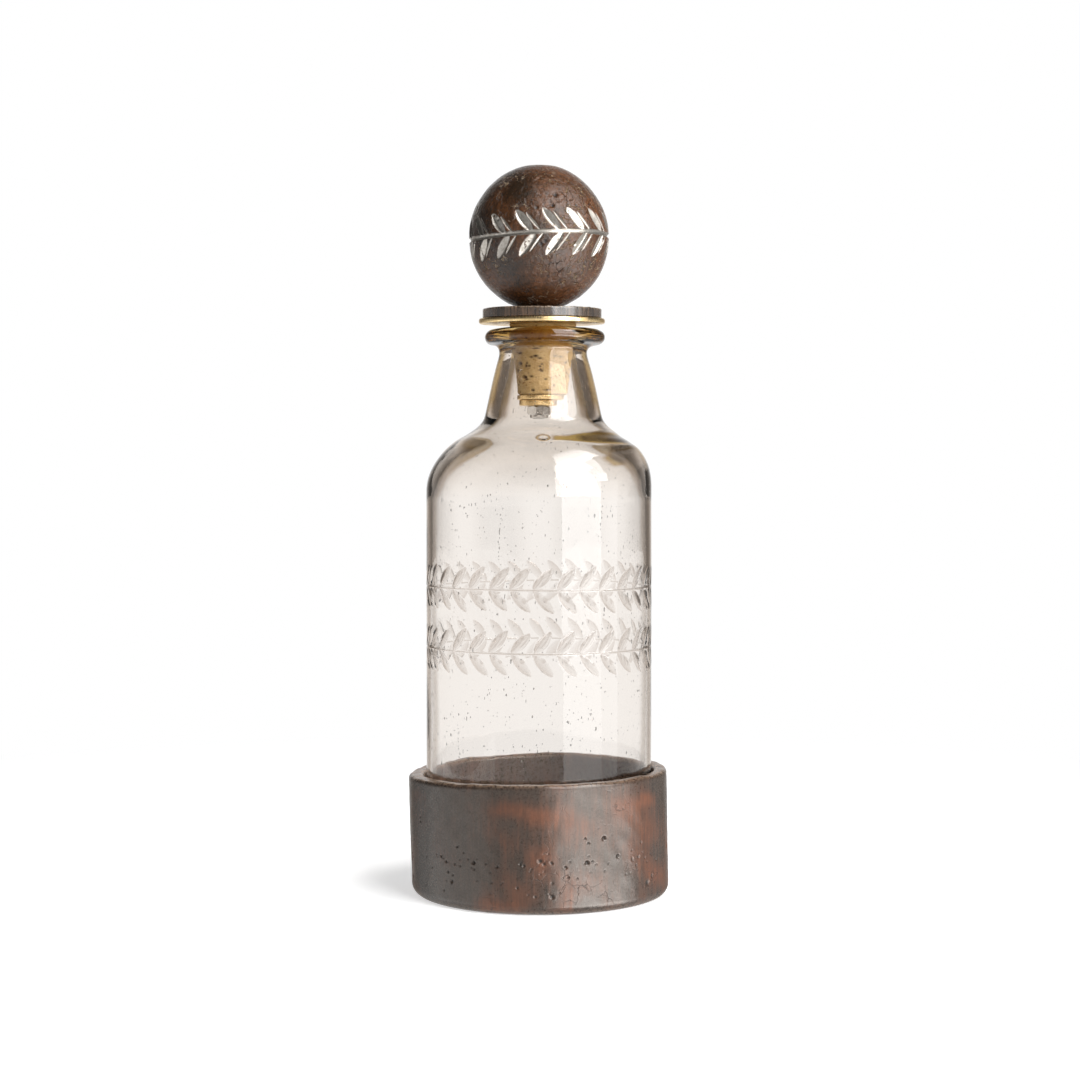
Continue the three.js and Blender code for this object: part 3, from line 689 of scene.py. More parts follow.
def makeCup():
    c = cup
    recess = c["recessRadius"] - c["recessRound"]
    foot = c["radius"] - c["footRound"]
    rim = c["height"] - c["rimRound"]
    rimOuter, rimInner = c["radius"] - c["rimRound"], c["recessRadius"] + c["rimRound"]
    recessFoot = c["floor"] + c["recessRound"]
    wallRows = int((rim - c["footRound"]) / c["step"])
    rows = joinRows(
        lineRows((c["axisGap"], 0), (foot, 0), 7), arcRows(foot, c["footRound"], c["footRound"], -90, 0, 16),
        lineRows((c["radius"], c["footRound"]), (c["radius"], rim), wallRows),
        arcRows(rimOuter, rim, c["rimRound"], 0, 90, 9),
        lineRows((rimOuter, c["height"]), (rimInner, c["height"]), 5),
        arcRows(rimInner, rim, c["rimRound"], 90, 180, 9),
        lineRows((c["recessRadius"], rim), (c["recessRadius"], recessFoot), 34),
        arcRows(recess, recessFoot, c["recessRound"], 0, -90, 7),
        lineRows((recess, c["floor"]), (c["axisGap"], c["floor"]), 8))
    grid, normal = spin(rows, c["cols"])
    turn = bearing(grid)
    high = rows[:, 1][:, None]
    first = int(np.argmax(rows[:, 1] >= c["height"] - 1e-6))  # first row on top of the rim
    outside = (np.arange(len(rows)) <= first + 3)[:, None]
    half = c["flatTurn"] / 2
    flat = np.abs((turn + 180) % c["flatTurn"] - half) / half
    outer = uneven(grid, *c["swell"]) + uneven(grid, *c["fine"]) - c["flatDepth"] * flat ** 2
    push = np.where(outside, np.minimum(outer, c["proud"]), uneven(grid, *c["inside"]))
    push = push * ease(high, *c["footSpan"])
    hole = np.zeros(grid.shape[:2])
    rng = np.random.default_rng(c["seed"])
    pits = [(bear, z + c["pitLift"], c["pitSize"] * size, depth) for bear, z, size, depth in c["pits"]]
    for count, bears, heights, sizes, depths in c["wear"]:
        for _ in range(count):
            pits.append((rng.uniform(*bears), np.clip(rng.normal(*heights), *c["wearSpan"]),
                         rng.uniform(*sizes), rng.uniform(*depths)))
    wall = np.flatnonzero((np.arange(len(rows)) < first - 8) & (rows[:, 1] > 3))
    for bear, z, size, depth in pits:
        band = wall[np.abs(rows[wall, 1] - z) < 3 * size]
        side = np.radians(awayFrom(turn[band], bear)) * c["radius"]
        far = np.hypot(side / c["pitWide"], high[band] - z) / size
        push[band] -= c["pitDepth"] * depth * dent(far, 1.2) - c["pitBank"] * bell(far, 1.5, 0.4)
        hole[band] = np.maximum(hole[band], dent(far, 1.6))
    red = c["red"] + uneven(grid, *c["redWave"])
    back = [tuple(rng.uniform(*span) for span in c["backPatches"]) for _ in range(c["backCount"])]
    for bear, z, wide, tall, strength in c["patches"] + tuple(back):
        red += c["redPatch"] * strength * bell(awayFrom(turn, bear), 0, wide) * bell(high, z, tall)
    bear, wide, share = c["unbroken"]
    red -= share * bell(turn, bear, wide)
    red = np.where(outside, red, c["redInside"])
    # lighter worn colour on the rim and the foot edges: partly real wear, partly a painted highlight
    edge = c["rimWearAndGlint"] * bell(high, c["height"], 0.8) + c["footWearAndGlint"] * bell(high, 1.0, 1.2)
    grid = grid + normal * push[..., None]
    far = np.hypot(grid[..., 0], grid[..., 1])
    left = np.clip((1 - grid[..., 0] / c["radius"]) / 2, 0, 1)
    grid[..., 0] -= c["lean"] * (high / c["height"] - 0.5) * ease(far, c["recessRadius"], rimOuter)
    grid[..., 2] -= c["rimDip"] * left ** 3 * ease(high, c["dipFrom"], c["height"])
    knife = uneven(grid, *c["rimWave"]) * ease(high, c["height"] - c["rimSpan"], c["height"])
    grid[..., 2] = np.maximum(grid[..., 2] + knife, 0)
    masks = {"pit": hole, "rubbed": np.clip(red, 0, 1.2), "edge": np.clip(edge + 0 * turn, 0, 1)}
    gridPiece("cup_wood", grid, "cup", "wooden_cup", cupMaterial(), masks=masks)


makeCup()
print("cup made")


# wooden ball with its silvered vine

ball = dict(
    radius=31.8, half=32.9, seat=8.0, hole=3.25, holeDepth=22.25, cols=560,
    tilt=1.8, stemWave=0.5,  # the vine runs a little uphill to the right, and not quite straight
    vine=dict(pairs=16, length=13.2, width=4.5, depth=1.2, leanUp=51, leanDown=53, lowerShift=1.4, gap=0.25,
              growth=-1, wander=0.4, point=0.62, round=1.2, skew=-0.5, first=-5.0,
              # each leaf is one wide gouge and a thin one beside it
              strokes=((0, 1, 1, 1), (3.7, 0.3, 0.55, 0.85))),
    vineSeed=71, vineReach=16, stemWidth=1.0, stemDepth=0.8, silverDepth=(0.03, 0.16),
    swell=(0.14, 51, 14, 60, 20), fine=(0.03, 52, 24, 9, 3), poleSpan=(31.6, 32.6),
    # bearing, degrees up, radius, depth
    pits=((16, 31, 1.3, 0.8), (24, 17, 1.0, 0.6), (30, -9, 0.9, 0.6), (-2, 19, 0.8, 0.4), (12, 21, 0.9, 0.5),
          (2, -9, 1.1, 0.5), (5, -7, 0.9, 0.5), (-36, 11, 0.6, 0.4), (34, 22, 0.7, 0.4), (-150, 25, 1.2, 0.8),
          (120, -22, 1.0, 0.6), (95, 30, 0.8, 0.6), (-100, -30, 1.1, 0.6), (170, 5, 0.8, 0.5)),
    # red wood all over; more on the right and below as painted light, less on the upper left as painted shade
    red=0.28, redWave=(0.2, 61, 10, 50, 16), paintedLightRight=0.25, paintedShadeLeft=0.36, paintedLightBelow=0.22,
    paintedLightRightAt=(45, 40), paintedShadeLeftAt=(-60, 38), paintedShadeLeftSpan=(-16, 4), paintedLightBelowSpan=(-24, -2),
    finish={"Stain": rgb(0.022, 0.012, 0.006), "Wood": rgb(0.15, 0.056, 0.02), "Worn": rgb(0.3, 0.18, 0.115),
            "Edge": 0.0, "Patch": 70.0, "Grain": 700.0, "Upright": 0.5},
    gloss=0.1, silver=rgb(0.5, 0.47, 0.43), dullSilver=rgb(0.3, 0.27, 0.23), silverMetal=0.9,
    silverGloss=(0.26, 0.4), silverHeight=0.08, foilScale=900.0, coverScale=260.0,
    nickScale=270.0, nickBend=(300.0, 5.0, 0.005), nickPatch=75.0, nickBreak=420.0, nickWidth=0.06,
    nickGlintShare=0.7, nickPaintedGlint=rgb(0.5, 0.35, 0.2), nickHeight=1.3,
    wrinkleScale=230.0, wrinkleHeight=1.1, bump=(0.9, 0.0007),
)


def ballMaterial():
    b = ball
    material, tree, shader = startMaterial("carved wood and silver")
    point = objectPoint(tree)
    look = useGroup(tree, woodGroup, {
        "Vector": point, "Rubbed": mask(tree, "rubbed"), "Pit": mask(tree, "pit"), **b["finish"]})
    foil = noise(tree, point, b["foilScale"], 6.0, 0.7)
    silver = blendColour(tree, ramp(tree, foil, 0.35, 0.7), b["silver"], b["dullSilver"])
    cover = ramp(tree, noise(tree, point, b["coverScale"], 5.0, 0.7), 0.3, 0.4)
    cover = times(tree, mask(tree, "silver"), cover)
    tree.links.new(times(tree, cover, b["silverMetal"]), shader.inputs["Metallic"])
    woodGloss = plus(tree, look["Gloss"], b["gloss"])
    rough = blendValue(tree, cover, woodGloss, ramp(tree, foil, 0.3, 0.7, *b["silverGloss"]))
    # fine nicks in patches, bumped and coloured light gold as a painted glint
    bent = bentPoint(tree, point, *b["nickBend"])
    nick = ramp(tree, cellEdges(tree, bent, b["nickScale"]), 0.0, b["nickWidth"], 1.0, 0.0)
    nick = times(tree, nick, ramp(tree, noise(tree, point, b["nickPatch"], 3.0), 0.49, 0.58))
    nick = times(tree, nick, ramp(tree, noise(tree, point, b["nickBreak"], 2.0), 0.46, 0.54))
    # painted glint: nicks coloured light gold
    skin = blendColour(tree, times(tree, nick, b["nickGlintShare"]), look["Colour"], b["nickPaintedGlint"])
    wrinkle = put(tree, "TexNoise", {"noise_type": "RIDGED_MULTIFRACTAL"},
                  {"Vector": bent, "Scale": b["wrinkleScale"], "Detail": 4.0, "Roughness": 0.55}).outputs[0]
    height = calc(tree, "SUBTRACT", look["Height"], times(tree, nick, b["nickHeight"]))
    height = calc(tree, "SUBTRACT", height, times(tree, wrinkle, b["wrinkleHeight"]))
    height = blendValue(tree, cover, height, times(tree, foil, b["silverHeight"]))
    finishMaterial(tree, shader, blendColour(tree, cover, skin, silver), rough, height, *b["bump"])
    return material


def makeBall():
    b = ball
    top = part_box("stopper_ball")[1].z / mm
    seat = -b["half"] * math.sqrt(1 - (b["seat"] / b["radius"]) ** 2)
    low = math.degrees(math.asin(seat / b["half"]))
    lat = np.r_[np.linspace(low, -26, 56), np.linspace(-25.2, 25.2, 127), np.linspace(26, 89.3, 74)]
    lat = np.radians(lat)  # finest where the vine runs
    skin = np.column_stack([b["radius"] * np.cos(lat), b["half"] * np.sin(lat)])
    bore, boreTop = b["hole"], seat + b["holeDepth"]
    rows = joinRows(lineRows((0.2, boreTop), (bore, boreTop), 3), lineRows((bore, boreTop), (bore, seat), 8),
                    lineRows((bore, seat), (b["seat"], seat), 5), skin)
    grid, normal = spin(rows, b["cols"])
    skinRow = np.arange(len(rows)) >= len(rows) - len(skin)
    turn = bearing(grid)
    high = rows[:, 1][:, None]
    away = high - math.tan(math.radians(b["tilt"])) * grid[..., 0]
    away = away - b["stemWave"] * np.sin(np.radians(turn) * 2 + 0.6)
    away = away * (1 + 0.17 * (away / b["half"]) ** 2)  # measured along the curve
    near = skinRow & (np.abs(rows[:, 1]) < b["vineReach"])
    vine = dict(b["vine"], pitch=tau * b["radius"] / b["vine"]["pairs"])
    cut, silver, hole = (np.zeros(grid.shape[:2]) for _ in range(3))
    along = np.radians(turn[near] - vine["first"]) * b["radius"]
    leaves, _ = leafCut(along, away[near], vine, b["vineSeed"])
    stem = b["stemDepth"] * np.clip(1.15 - (away[near] / b["stemWidth"]) ** 2, 0, 1)
    cut[near] = np.maximum(leaves, stem)
    silver[near] = ease(cut[near], *b["silverDepth"])
    push = uneven(grid, *b["swell"]) + uneven(grid, *b["fine"])
    push = push * (skinRow[:, None] & (high > seat + 2)) * (1 - ease(np.abs(high), *b["poleSpan"]))
    climb = np.arcsin(np.clip(high / b["half"], -1, 1)) * b["half"]
    for bear, up, size, depth in b["pits"]:
        side = np.radians(awayFrom(turn, bear)) * rows[:, 0][:, None]
        far = np.hypot(side, climb - math.radians(up) * b["half"]) / size
        far[~skinRow] = 9
        push -= depth * dent(far, 1.2)
        hole = np.maximum(hole, dent(far, 1.6))
    grid = grid + normal * (push - cut)[..., None]
    grid[..., 2] = np.minimum(grid[..., 2], b["half"]) + top - b["half"]
    # redder on the lit right and below as painted light, darker upper left as painted shade
    red = b["red"] + uneven(grid, *b["redWave"]) + b["paintedLightRight"] * bell(turn, *b["paintedLightRightAt"])
    red -= b["paintedShadeLeft"] * bell(turn, *b["paintedShadeLeftAt"]) * ease(high, *b["paintedShadeLeftSpan"])
    red += b["paintedLightBelow"] * (1 - ease(high, *b["paintedLightBelowSpan"]))
    masks = {"silver": silver, "pit": hole * (1 - silver), "rubbed": np.clip(red, 0, 1.2)}
    gridPiece("ball_wood", grid, "stopper", "stopper_ball", ballMaterial(), masks=masks)


makeBall()
print("ball made")


# thin wooden disc under the ball

disc = dict(
    radius=27.3, hole=3.25, round=0.8, footRound=0.3, cols=480, shift=1.4,
    inset=0.1, saw=(0.05, 81, 16, 6, 2), sawStretch=0.15, swell=(0.1, 82, 8, 60, 20),
    red=0.12, redWave=(0.2, 83, 8, 40, 14),
    finish={"Stain": rgb(0.046, 0.031, 0.021), "Wood": rgb(0.15, 0.075, 0.04), "Worn": rgb(0.34, 0.26, 0.19),
            "Pit": 0.0, "Patch": 90.0, "Grain": 1500.0, "Upright": 0.07},
    wax=1.0, waxGloss=0.13, markScale=900.0, markStretch=0.06, markTone=(0.45, 1.6), markGloss=(0.24, 0.08),
    bump=(0.5, 0.0006),
)


def discMaterial():
    d = disc
    material, tree, shader = startMaterial("sawn dark wood")
    shader.inputs["Coat Weight"].default_value = d["wax"]
    shader.inputs["Coat Roughness"].default_value = d["waxGloss"]
    look = useGroup(tree, woodGroup, {
        "Vector": objectPoint(tree), "Rubbed": mask(tree, "rubbed"), "Edge": mask(tree, "edge"),
        **d["finish"]})
    drawn = objectPoint(tree, (1, 1, d["markStretch"]))
    saw = noise(tree, drawn, d["markScale"], 3.0)  # upright marks of the saw
    mark = greyOf(tree, ramp(tree, saw, 0.35, 0.65, *d["markTone"]))
    tone = blendColour(tree, 1.0, look["Colour"], mark, "MULTIPLY")
    rough = plus(tree, look["Gloss"], ramp(tree, saw, 0.35, 0.65, *d["markGloss"]))
    finishMaterial(tree, shader, tone, rough, look["Height"], *d["bump"])
    return material


def makeDisc():
    d = disc
    low, high = (v.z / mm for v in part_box("stopper_disc"))
    r, k, f = d["radius"], d["round"], d["footRound"]
    rows = joinRows(
        lineRows((d["hole"], low), (r - f, low), 14), arcRows(r - f, low + f, f, -90, 0, 4),
        lineRows((r, low + f), (r, high - k), 16), arcRows(r - k, high - k, k, 0, 90, 8),
        lineRows((r - k, high), (d["hole"], high), 14), lineRows((d["hole"], high), (d["hole"], low), 5)[:-1])
    grid, normal = spin(rows, d["cols"])
    saw = uneven(grid * (1, 1, d["sawStretch"]), *d["saw"]) + uneven(grid, *d["swell"])
    onRim = (rows[:, 0] > r - 1.2)[:, None]
    grid = grid + normal * np.where(onRim, saw - d["inset"], 0)[..., None]
    grid[..., 2] = np.clip(grid[..., 2], low, high)
    setAside(grid, d["shift"], d["hole"])
    edge = bell(rows[:, 1], high, 0.5) * (rows[:, 0] > r - 1.5)
    red = d["red"] + uneven(grid, *d["redWave"])
    masks = {"edge": edge[:, None] + 0 * red, "rubbed": np.clip(red, 0, 1)}
    gridPiece("disc_wood", grid, "stopper", "stopper_disc", discMaterial(), ring=True,
              masks=masks)


makeDisc()


# brass plate with a half-round edge, and the two brass washers under the cork

brass = dict(
    plateRadius=28.8, hole=3.25, cols=240, shift=1.4, inset=0.05, wave=(0.05, 91, 10, 40, 12),
    bead=0.8,  # a little flatter than half round
    largeRadius=11.0, largeShift=0.8, smallRadius=8.9, smallShift=-0.3, edge=0.35, washerCols=120,
    washerInset=0.02, washerWave=(0.02, 95, 8, 20, 5),
    finish={"Metal": rgb(0.95, 0.72, 0.38), "Tarnish": rgb(0.58, 0.37, 0.15), "Amount": 0.55, "Gloss": 0.27},
    bump=(0.12, 0.0003),
)
brassLook = metalMaterial("polished brass", brass["finish"], brass["bump"])


def makePlate():
    low, high = (v.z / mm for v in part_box("brass_plate"))
    half = (high - low) / 2
    r, hole = brass["plateRadius"] - half, brass["hole"]
    bead = arcRows(0, 0, 1, -90, 90, 22)
    bead = np.sign(bead) * np.abs(bead) ** brass["bead"] * half + (r, low + half)
    rows = joinRows(lineRows((hole, low), (r, low), 10), bead, lineRows((r, high), (hole, high), 10),
                    lineRows((hole, high), (hole, low), 4)[:-1])
    grid, normal = spin(rows, brass["cols"])
    wave = uneven(grid, *brass["wave"]) * (rows[:, 0] > r - 4)[:, None]
    grid = grid + normal * (wave - brass["inset"])[..., None]
    grid[..., 2] = np.clip(grid[..., 2], low, high)
    setAside(grid, brass["shift"], hole)
    gridPiece("plate_brass", grid, "stopper", "brass_plate", brassLook, ring=True)


def makeWasher(name, node, radius, shift):
    low, high = (v.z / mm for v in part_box(node))
    e = brass["edge"]
    r, hole = radius - e, brass["hole"] + e
    rows = joinRows(
        lineRows((hole, low), (r, low), 8), arcRows(r, low + e, e, -90, 0, 5),
        arcRows(r, high - e, e, 0, 90, 5), lineRows((r, high), (hole, high), 8),
        arcRows(hole, high - e, e, 90, 180, 4),
        arcRows(hole, low + e, e, 180, 270, 4)[:-1])
    grid, normal = spin(rows, brass["washerCols"])
    grid = grid - normal * (brass["washerInset"] + uneven(grid, *brass["washerWave"]))[..., None]
    setAside(grid, shift, brass["hole"])
    gridPiece(name, grid, "stopper", node, brassLook, ring=True, sharp=35)


makePlate()
makeWasher("large_washer", "cork_washer", brass["largeRadius"], brass["largeShift"])
makeWasher("small_washer", "nut_washer", brass["smallRadius"], brass["smallShift"])
print("disc, plate and washers made")


# cork

cork = dict(
    topRadius=15.3, footRadius=11.7, hole=3.25, chamfer=0.7, cols=300, shift=1.8,
    inset=0.1, fine=(0.04, 101, 20, 8, 2.5),
    # pores on the front: bearing, depth below the top, half width, depth; and the count and spans of the rest
    front=((-48, 14, 1.9, 1.3), (-50, 19, 1.5, 1.5), (-40, 25, 1.6, 1.4), (-12, 11, 2.5, 0.7),
           (-14, 15.5, 1.3, 1.0), (10, 30.5, 2.5, 0.4), (-62, 22, 1.4, 1.4), (-34, 20, 0.9, 1.0)),
    pores=120, poreSeed=103, poreWide=(0.4, 1.5), poreDeep=(0.2, 0.7), poreDepth=0.8, poreTall=0.35,
    pale=rgb(0.52, 0.37, 0.17), warm=rgb(0.38, 0.25, 0.1), speck=rgb(0.2, 0.1, 0.035),
    pore=rgb(0.05, 0.024, 0.01), cloudScale=240.0, cellScale=900.0, speckScale=520.0, speckStretch=2.5,
    gloss=(0.7, 0.9), bump=(0.35, 0.0005),
)


def corkMaterial():
    c = cork
    material, tree, shader = startMaterial("natural cork")
    point = objectPoint(tree)
    cloud = noise(tree, point, c["cloudScale"], 6.0, 0.65)
    cell = put(tree, "TexVoronoi", None, {"Vector": point, "Scale": c["cellScale"]}).outputs[0]
    speck = noise(tree, objectPoint(tree, (1, 1, c["speckStretch"])), c["speckScale"], 4.0)
    tone = blendColour(tree, ramp(tree, cloud, 0.35, 0.68), c["pale"], c["warm"])
    tone = blendColour(tree, ramp(tree, speck, 0.62, 0.72), tone, c["speck"])
    tone = blendColour(tree, mask(tree, "pit"), tone, c["pore"])
    rough = ramp(tree, cloud, 0.3, 0.7, *c["gloss"])
    finishMaterial(tree, shader, tone, rough, plus(tree, cell, cloud), *c["bump"])
    return material


def makeCork():
    c = cork
    low, high = (v.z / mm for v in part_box("cork"))
    k, hole, foot, top = c["chamfer"], c["hole"], c["footRadius"], c["topRadius"]
    rows = joinRows(
        lineRows((hole, low), (foot - k, low), 8), lineRows((foot - k, low), (foot, low + k), 4),
        lineRows((foot, low + k), (top, high), 96), lineRows((top, high), (hole, high), 10),
        lineRows((hole, high), (hole, low), 10)[:-1])
    grid, normal = spin(rows, c["cols"])
    turn = bearing(grid)
    side = ((rows[:, 0] > foot - k - 0.01) & (rows[:, 1] < high - 0.05))[:, None]
    push = uneven(grid, *c["fine"]) - c["inset"]
    dark = np.zeros(grid.shape[:2])
    rng = np.random.default_rng(c["poreSeed"])
    pores = [(bear, high - down, wide, deep) for bear, down, wide, deep in c["front"]]
    spans = ((-180, 180), (low + 1, high - 1), c["poreWide"], c["poreDeep"])
    pores += [tuple(rng.uniform(*span) for span in spans) for _ in range(c["pores"])]
    for bear, z, wide, deep in pores:
        reach = np.abs(rows[:, 1] - z) < 2.5
        s = np.radians(awayFrom(turn[reach], bear)) * rows[reach, 0][:, None] / wide
        t = (rows[reach, 1][:, None] - z) / (c["poreTall"] + c["poreTall"] * deep)
        far = np.hypot(s, t) ** 2.4
        push[reach] -= c["poreDepth"] * deep * np.exp(-1.3 * far)
        dark[reach] = np.maximum(dark[reach], np.exp(-1.5 * far))
    grid = grid + normal * (push * side)[..., None]
    setAside(grid, c["shift"], hole)
    gridPiece("cork_bung", grid, "stopper", "cork", corkMaterial(), ring=True,
              masks={"pit": dark * side}, sharp=40)


makeCork()


# stud, lock nut and its nylon ring

steel = dict(
    studRadius=3.0, studCols=48, studEnd=0.5, thread=1.0, threadDepth=0.32, threaded=14.0,
    flats=10.0, hexHeight=3.6, hexChamfer=0.55, collarRadius=4.2, collarRound=0.9, bore=3.15, turn=17.0,
    nutCols=240, ringRadius=3.75, ringEdge=0.2, ringCols=72, ringInset=0.01, ringWave=(0.01, 111, 8, 6, 2),
    finish={"Metal": rgb(0.76, 0.75, 0.73), "Tarnish": rgb(0.4, 0.37, 0.33), "Amount": 0.35, "Gloss": 0.13},
    bump=(0.08, 0.0002),
    nylon=(rgb(0.62, 0.6, 0.54), rgb(0.75, 0.73, 0.68)), nylonScale=700.0, nylonGloss=(0.45, 0.65),
    nylonBump=(0.1, 0.0002),
)
steelLook = metalMaterial("bright plated steel", steel["finish"], steel["bump"])


def makeStud():
    s = steel
    low, high = (v.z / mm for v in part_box("stud"))
    r = s["studRadius"] - 0.02
    end = r - s["studEnd"]
    threadTop = low + s["threaded"]
    z = np.r_[np.arange(low + s["studEnd"], threadTop, s["thread"] / 12),
              np.linspace(threadTop + 0.2, high - 0.6, 20)]
    rows = joinRows(lineRows((0.2, low), (end, low), 3), np.column_stack([np.full(len(z), r), z]),
                    lineRows((end, high), (0.2, high), 3))
    grid, normal = spin(rows, s["studCols"])
    phase = (rows[:, 1][:, None] / s["thread"] - np.arange(s["studCols"]) / s["studCols"]) % 1
    groove = s["threadDepth"] * np.abs(2 * phase - 1)
    groove = groove * ((rows[:, 0] > r - 0.1) & (rows[:, 1] < threadTop))[:, None]
    grid = grid - normal * groove[..., None]
    gridPiece("stud_steel", grid, "stopper", "stud", steelLook, sharp=50)


def makeNut():
    s = steel
    low, high = (v.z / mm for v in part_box("lock_nut"))
    t = np.arange(s["nutCols"]) * tau / s["nutCols"]
    flat = np.radians((np.degrees(t) - (s["turn"] - 90) + 30) % 60 - 30)
    half, bore = s["flats"] / 2, s["bore"]
    hexagon = half / np.cos(flat)
    drop = (hexagon - half) * s["hexChamfer"] + 0.04
    bottom = high - s["hexHeight"]
    c, k = s["collarRadius"], s["collarRound"]
    bend = np.linspace(0.2, math.pi / 2, 7)
    # radius and height of each ring, from the collar's foot up the outside and down the bore
    rings = [(bore + 0.4, low), (c - k, low)]
    rings += [(c - k + k * math.sin(a), low + k - k * math.cos(a)) for a in bend]
    rings += [(c, bottom - 0.25), (c + 0.25, bottom), (half - 0.08, bottom + 0.02),
              (hexagon - 0.05, bottom + drop), (hexagon, bottom + drop + 0.06),
              (hexagon, high - drop - 0.06), (hexagon - 0.05, high - drop),
              (half - 0.08, high - 0.02), (half - 0.3, high),
              (bore + 0.35, high), (bore, high - 0.35), (bore, low + 0.3)]
    grid = np.array([np.stack([r * np.cos(t), r * np.sin(t), z + 0 * t], axis=-1) for r, z in rings])
    gridPiece("nut_steel", grid, "stopper", "lock_nut", steelLook, ring=True, sharp=28)


def makeInsert():
    s = steel
    low, high = (v.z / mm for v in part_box("nut_insert"))
    e = s["ringEdge"]
    inner, outer = s["studRadius"] + 0.02 + e, s["ringRadius"] - e
    rows = joinRows(
        arcRows(inner, low + e, e, 180, 270, 4), arcRows(outer, low + e, e, -90, 0, 4),
        arcRows(outer, high - e, e, 0, 90, 4), arcRows(inner, high - e, e, 90, 180, 4))
    grid, normal = spin(rows, s["ringCols"])
    grid = grid - normal * (s["ringInset"] + uneven(grid, *s["ringWave"]))[..., None]
    material, tree, shader = startMaterial("nylon")
    cloud = noise(tree, objectPoint(tree), s["nylonScale"], 4.0)
    rough = ramp(tree, cloud, 0.3, 0.7, *s["nylonGloss"])
    finishMaterial(tree, shader, blendColour(tree, cloud, *s["nylon"]), rough, cloud, *s["nylonBump"])
    gridPiece("insert_nylon", grid, "stopper", "nut_insert", material, ring=True)


makeStud()
makeNut()
makeInsert()
print("cork, stud and nut made")


# floor, light and camera

studio = dict(
    floorSize=8.0, floorTone=0.8, floorRough=0.9, floorGlow=0.58, floorFade=(0.22, 0.6), floorLight=0.8,
    fill=0.16, glossFloor=0.42, glossRoom=0.38, glossTop=0.05,
    overhead=rgb(0.1, 0.085, 0.07), overheadShare=0.65, overheadSpan=(0.2, 0.7),
    glossFloorSpan=(-0.5, -0.05), glossRoomSpan=(0.0, 0.3), behindSpan=(0.6, 0.85),
    # white behind the glass, falling off to a warm dark at both sides: degrees and brightness
    backdrop=((0, 1.0), (8, 1.0), (11, 0.94), (14, 0.86), (17, 0.72), (22, 0.5), (27, 0.3), (32, 0.18),
              (45, 0.14)),
    reach=(1.2, 1.0),  # distance of a panel's two ends
    # soft panels, by bearing from the front: start, end, low edge, high edge, radiance
    # and how that changes up the panel: from and to this share of its height, brightness at both
    panels=((24, 84, -0.6, -0.135, 7.8), (13, 24, -0.6, -0.135, 4.2), (24, 64, -0.135, 0.02, 1.9),
            (22, 64, 0.02, 0.34, 4.2, (0, 0.46, 0.45, 1)), (64, 84, -0.135, 0.34, 1.0),
            (20, 72, 0.34, 0.54, 7.5), (18, 70, 0.54, 1.3, 6.2), (20, 84, 1.3, 3.2, 8.0, (0.2, 1, 1, 0)),
            (52, 76, 1.3, 1.9, 9.0, (0.4, 1, 1, 0)), (-44, -112, -0.6, -0.06, 0.75)),
    hiddenBelow=0.5,  # panels that start lower don't show through the glass, only the backdrop does
    eye=(0.0005, -0.92, 0.1812), tilt=-1.255, lens=66.97, sensor=36,
)


def makeFloor():
    half = studio["floorSize"] / 2
    mesh = bpy.data.meshes.new("floor")
    corners = [(-half, -half, 0), (half, -half, 0), (half, half, 0), (-half, half, 0)]
    mesh.from_pydata(corners, [], [(0, 1, 2, 3)])
    floor = bpy.data.objects.new("floor", mesh)
    scene.collection.objects.link(floor)
    floor.visible_glossy = False
    material, tree, shader = startMaterial("pale floor")
    shader.inputs["Roughness"].default_value = studio["floorRough"]
    shader.inputs["Specular IOR Level"].default_value = 0.0
    shader.inputs["Base Color"].default_value = rgb(*[studio["floorTone"]] * 3)
    path = put(tree, "LightPath").outputs
    seen = calc(tree, "MAXIMUM", path["Is Camera Ray"], path["Is Transmission Ray"])
    seen = calc(tree, "MAXIMUM", seen, path["Is Glossy Ray"])
    glow = put(tree, "Emission", None, {"Strength": times(tree, seen, studio["floorGlow"])})
    near = put(tree, "AddShader", None, {0: shader.outputs[0], 1: glow.outputs[0]})
    white = put(tree, "Emission", None, {"Strength": calc(tree, "MAXIMUM", seen, studio["floorLight"])})
    space = put(tree, "TexCoord").outputs["Object"]
    away = put(tree, "VectorMath", {"operation": "LENGTH"}, {0: space}).outputs["Value"]
    fade = calc(tree, "MAXIMUM", ramp(tree, away, *studio["floorFade"]), path["Is Transmission Ray"])
    mixed = put(tree, "MixShader", None, {0: fade, 1: near.outputs[0], 2: white.outputs[0]})
    tree.links.new(mixed.outputs[0], tree.nodes["Material Output"].inputs["Surface"])
    mesh.materials.append(material)


def makePanel(name, start, end, low, high, radiance, change=None):
    start, end = math.radians(start), math.radians(end)
    near, far = studio["reach"]
    x0, y0 = near * math.sin(start), -near * math.cos(start)
    x1, y1 = far * math.sin(end), -far * math.cos(end)
    wide = math.hypot(x1 - x0, y1 - y0)
    tall = high - low
    light = bpy.data.lights.new(name, "AREA")
    light.shape = "RECTANGLE"
    light.size, light.size_y = wide, tall
    light.energy = radiance * math.pi * wide * tall
    if change:
        light.use_nodes = True
        tree = light.node_tree
        up = put(tree, "SeparateXYZ", None, {0: put(tree, "NewGeometry").outputs["Parametric"]}).outputs[1]
        tree.links.new(ramp(tree, up, *change), tree.nodes["Emission"].inputs["Strength"])
    lamp = bpy.data.objects.new(name, light)
    centre = ((x0 + x1) / 2, (y0 + y1) / 2, (low + high) / 2)
    lamp.location = centre
    face = math.atan2(x0 - x1, y1 - y0)
    if math.cos(face - math.atan2(-centre[1], -centre[0])) < 0:
        face += math.pi
    lamp.rotation_euler = (math.pi / 2, 0, face - math.pi / 2)
    lamp.visible_camera = False
    lamp.visible_transmission = low > studio["hiddenBelow"]
    scene.collection.objects.link(lamp)


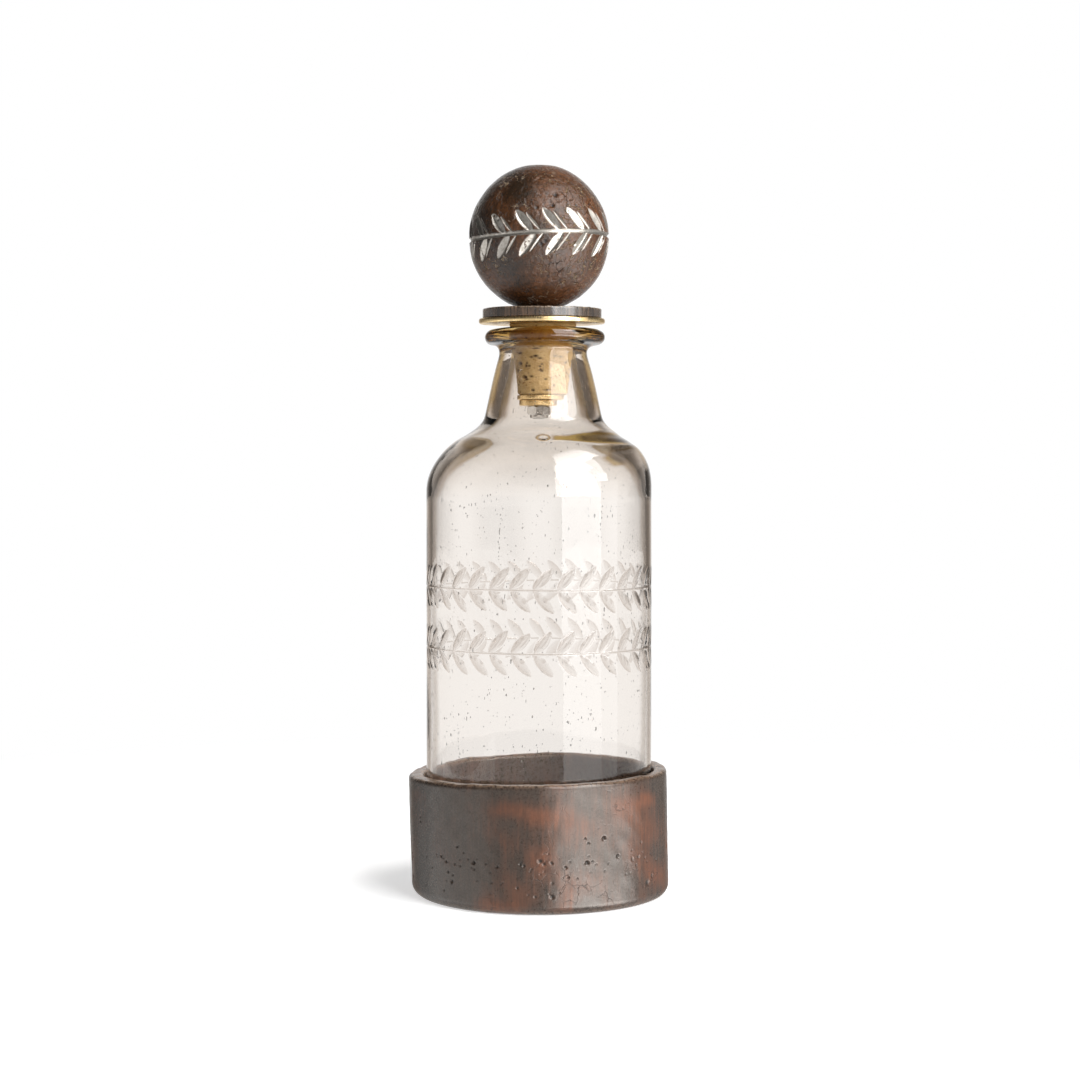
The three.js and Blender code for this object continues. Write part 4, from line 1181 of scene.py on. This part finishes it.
def makeWorld():
    world = bpy.data.worlds.new("studio")
    scene.world = world
    world.use_nodes = True
    tree = world.node_tree
    path = put(tree, "LightPath").outputs
    way = put(tree, "SeparateXYZ", None, {0: put(tree, "TexCoord").outputs["Generated"]}).outputs
    turn = calc(tree, "ARCTAN2", way[0], way[1])
    turn = put(tree, "Math", {"operation": "WRAP"}, {0: turn, 1: math.pi / 4, 2: -math.pi / 4}).outputs[0]
    turn = times(tree, calc(tree, "ABSOLUTE", turn), 4 / math.pi)
    pane = put(tree, "ValToRGB", None, {0: turn})
    stops = pane.color_ramp.elements
    for degrees, bright in studio["backdrop"]:
        place = degrees / 45
        stop = stops[0] if place == 0 else stops[-1] if place == 1 else stops.new(place)
        stop.color = (bright, bright * (0.85 + 0.15 * bright), bright * (0.72 + 0.28 * bright), 1)
    above = ramp(tree, way[2], *studio["overheadSpan"], 0.0, studio["overheadShare"])
    seen = blendColour(tree, above, pane.outputs[0], studio["overhead"])
    gloss = plus(tree, ramp(tree, way[2], *studio["glossFloorSpan"], studio["glossFloor"], 0.0),
                 ramp(tree, way[2], *studio["glossRoomSpan"], studio["glossRoom"], 0.0))
    grey = greyOf(tree, plus(tree, gloss, studio["glossTop"]))
    grey = blendColour(tree, ramp(tree, way[1], *studio["behindSpan"]), grey, seen)  # the same white behind
    tone = blendColour(tree, path["Is Glossy Ray"], rgb(*[studio["fill"]] * 3), grey)
    tone = blendColour(tree, path["Is Transmission Ray"], tone, seen)
    tone = blendColour(tree, path["Is Camera Ray"], tone, rgb(1, 1, 1))
    tree.links.new(tone, tree.nodes["Background"].inputs["Color"])


def makeCamera():
    data = bpy.data.cameras.new("camera")
    data.lens = studio["lens"]
    data.sensor_width = studio["sensor"]
    eye = bpy.data.objects.new("camera", data)
    eye.location = studio["eye"]
    eye.rotation_euler = (math.radians(90 + studio["tilt"]), 0, 0)
    scene.collection.objects.link(eye)
    scene.camera = eye


makeFloor()
for number, panel in enumerate(studio["panels"]):
    makePanel("panel %d" % number, *panel)
makeWorld()
makeCamera()
print("studio made")
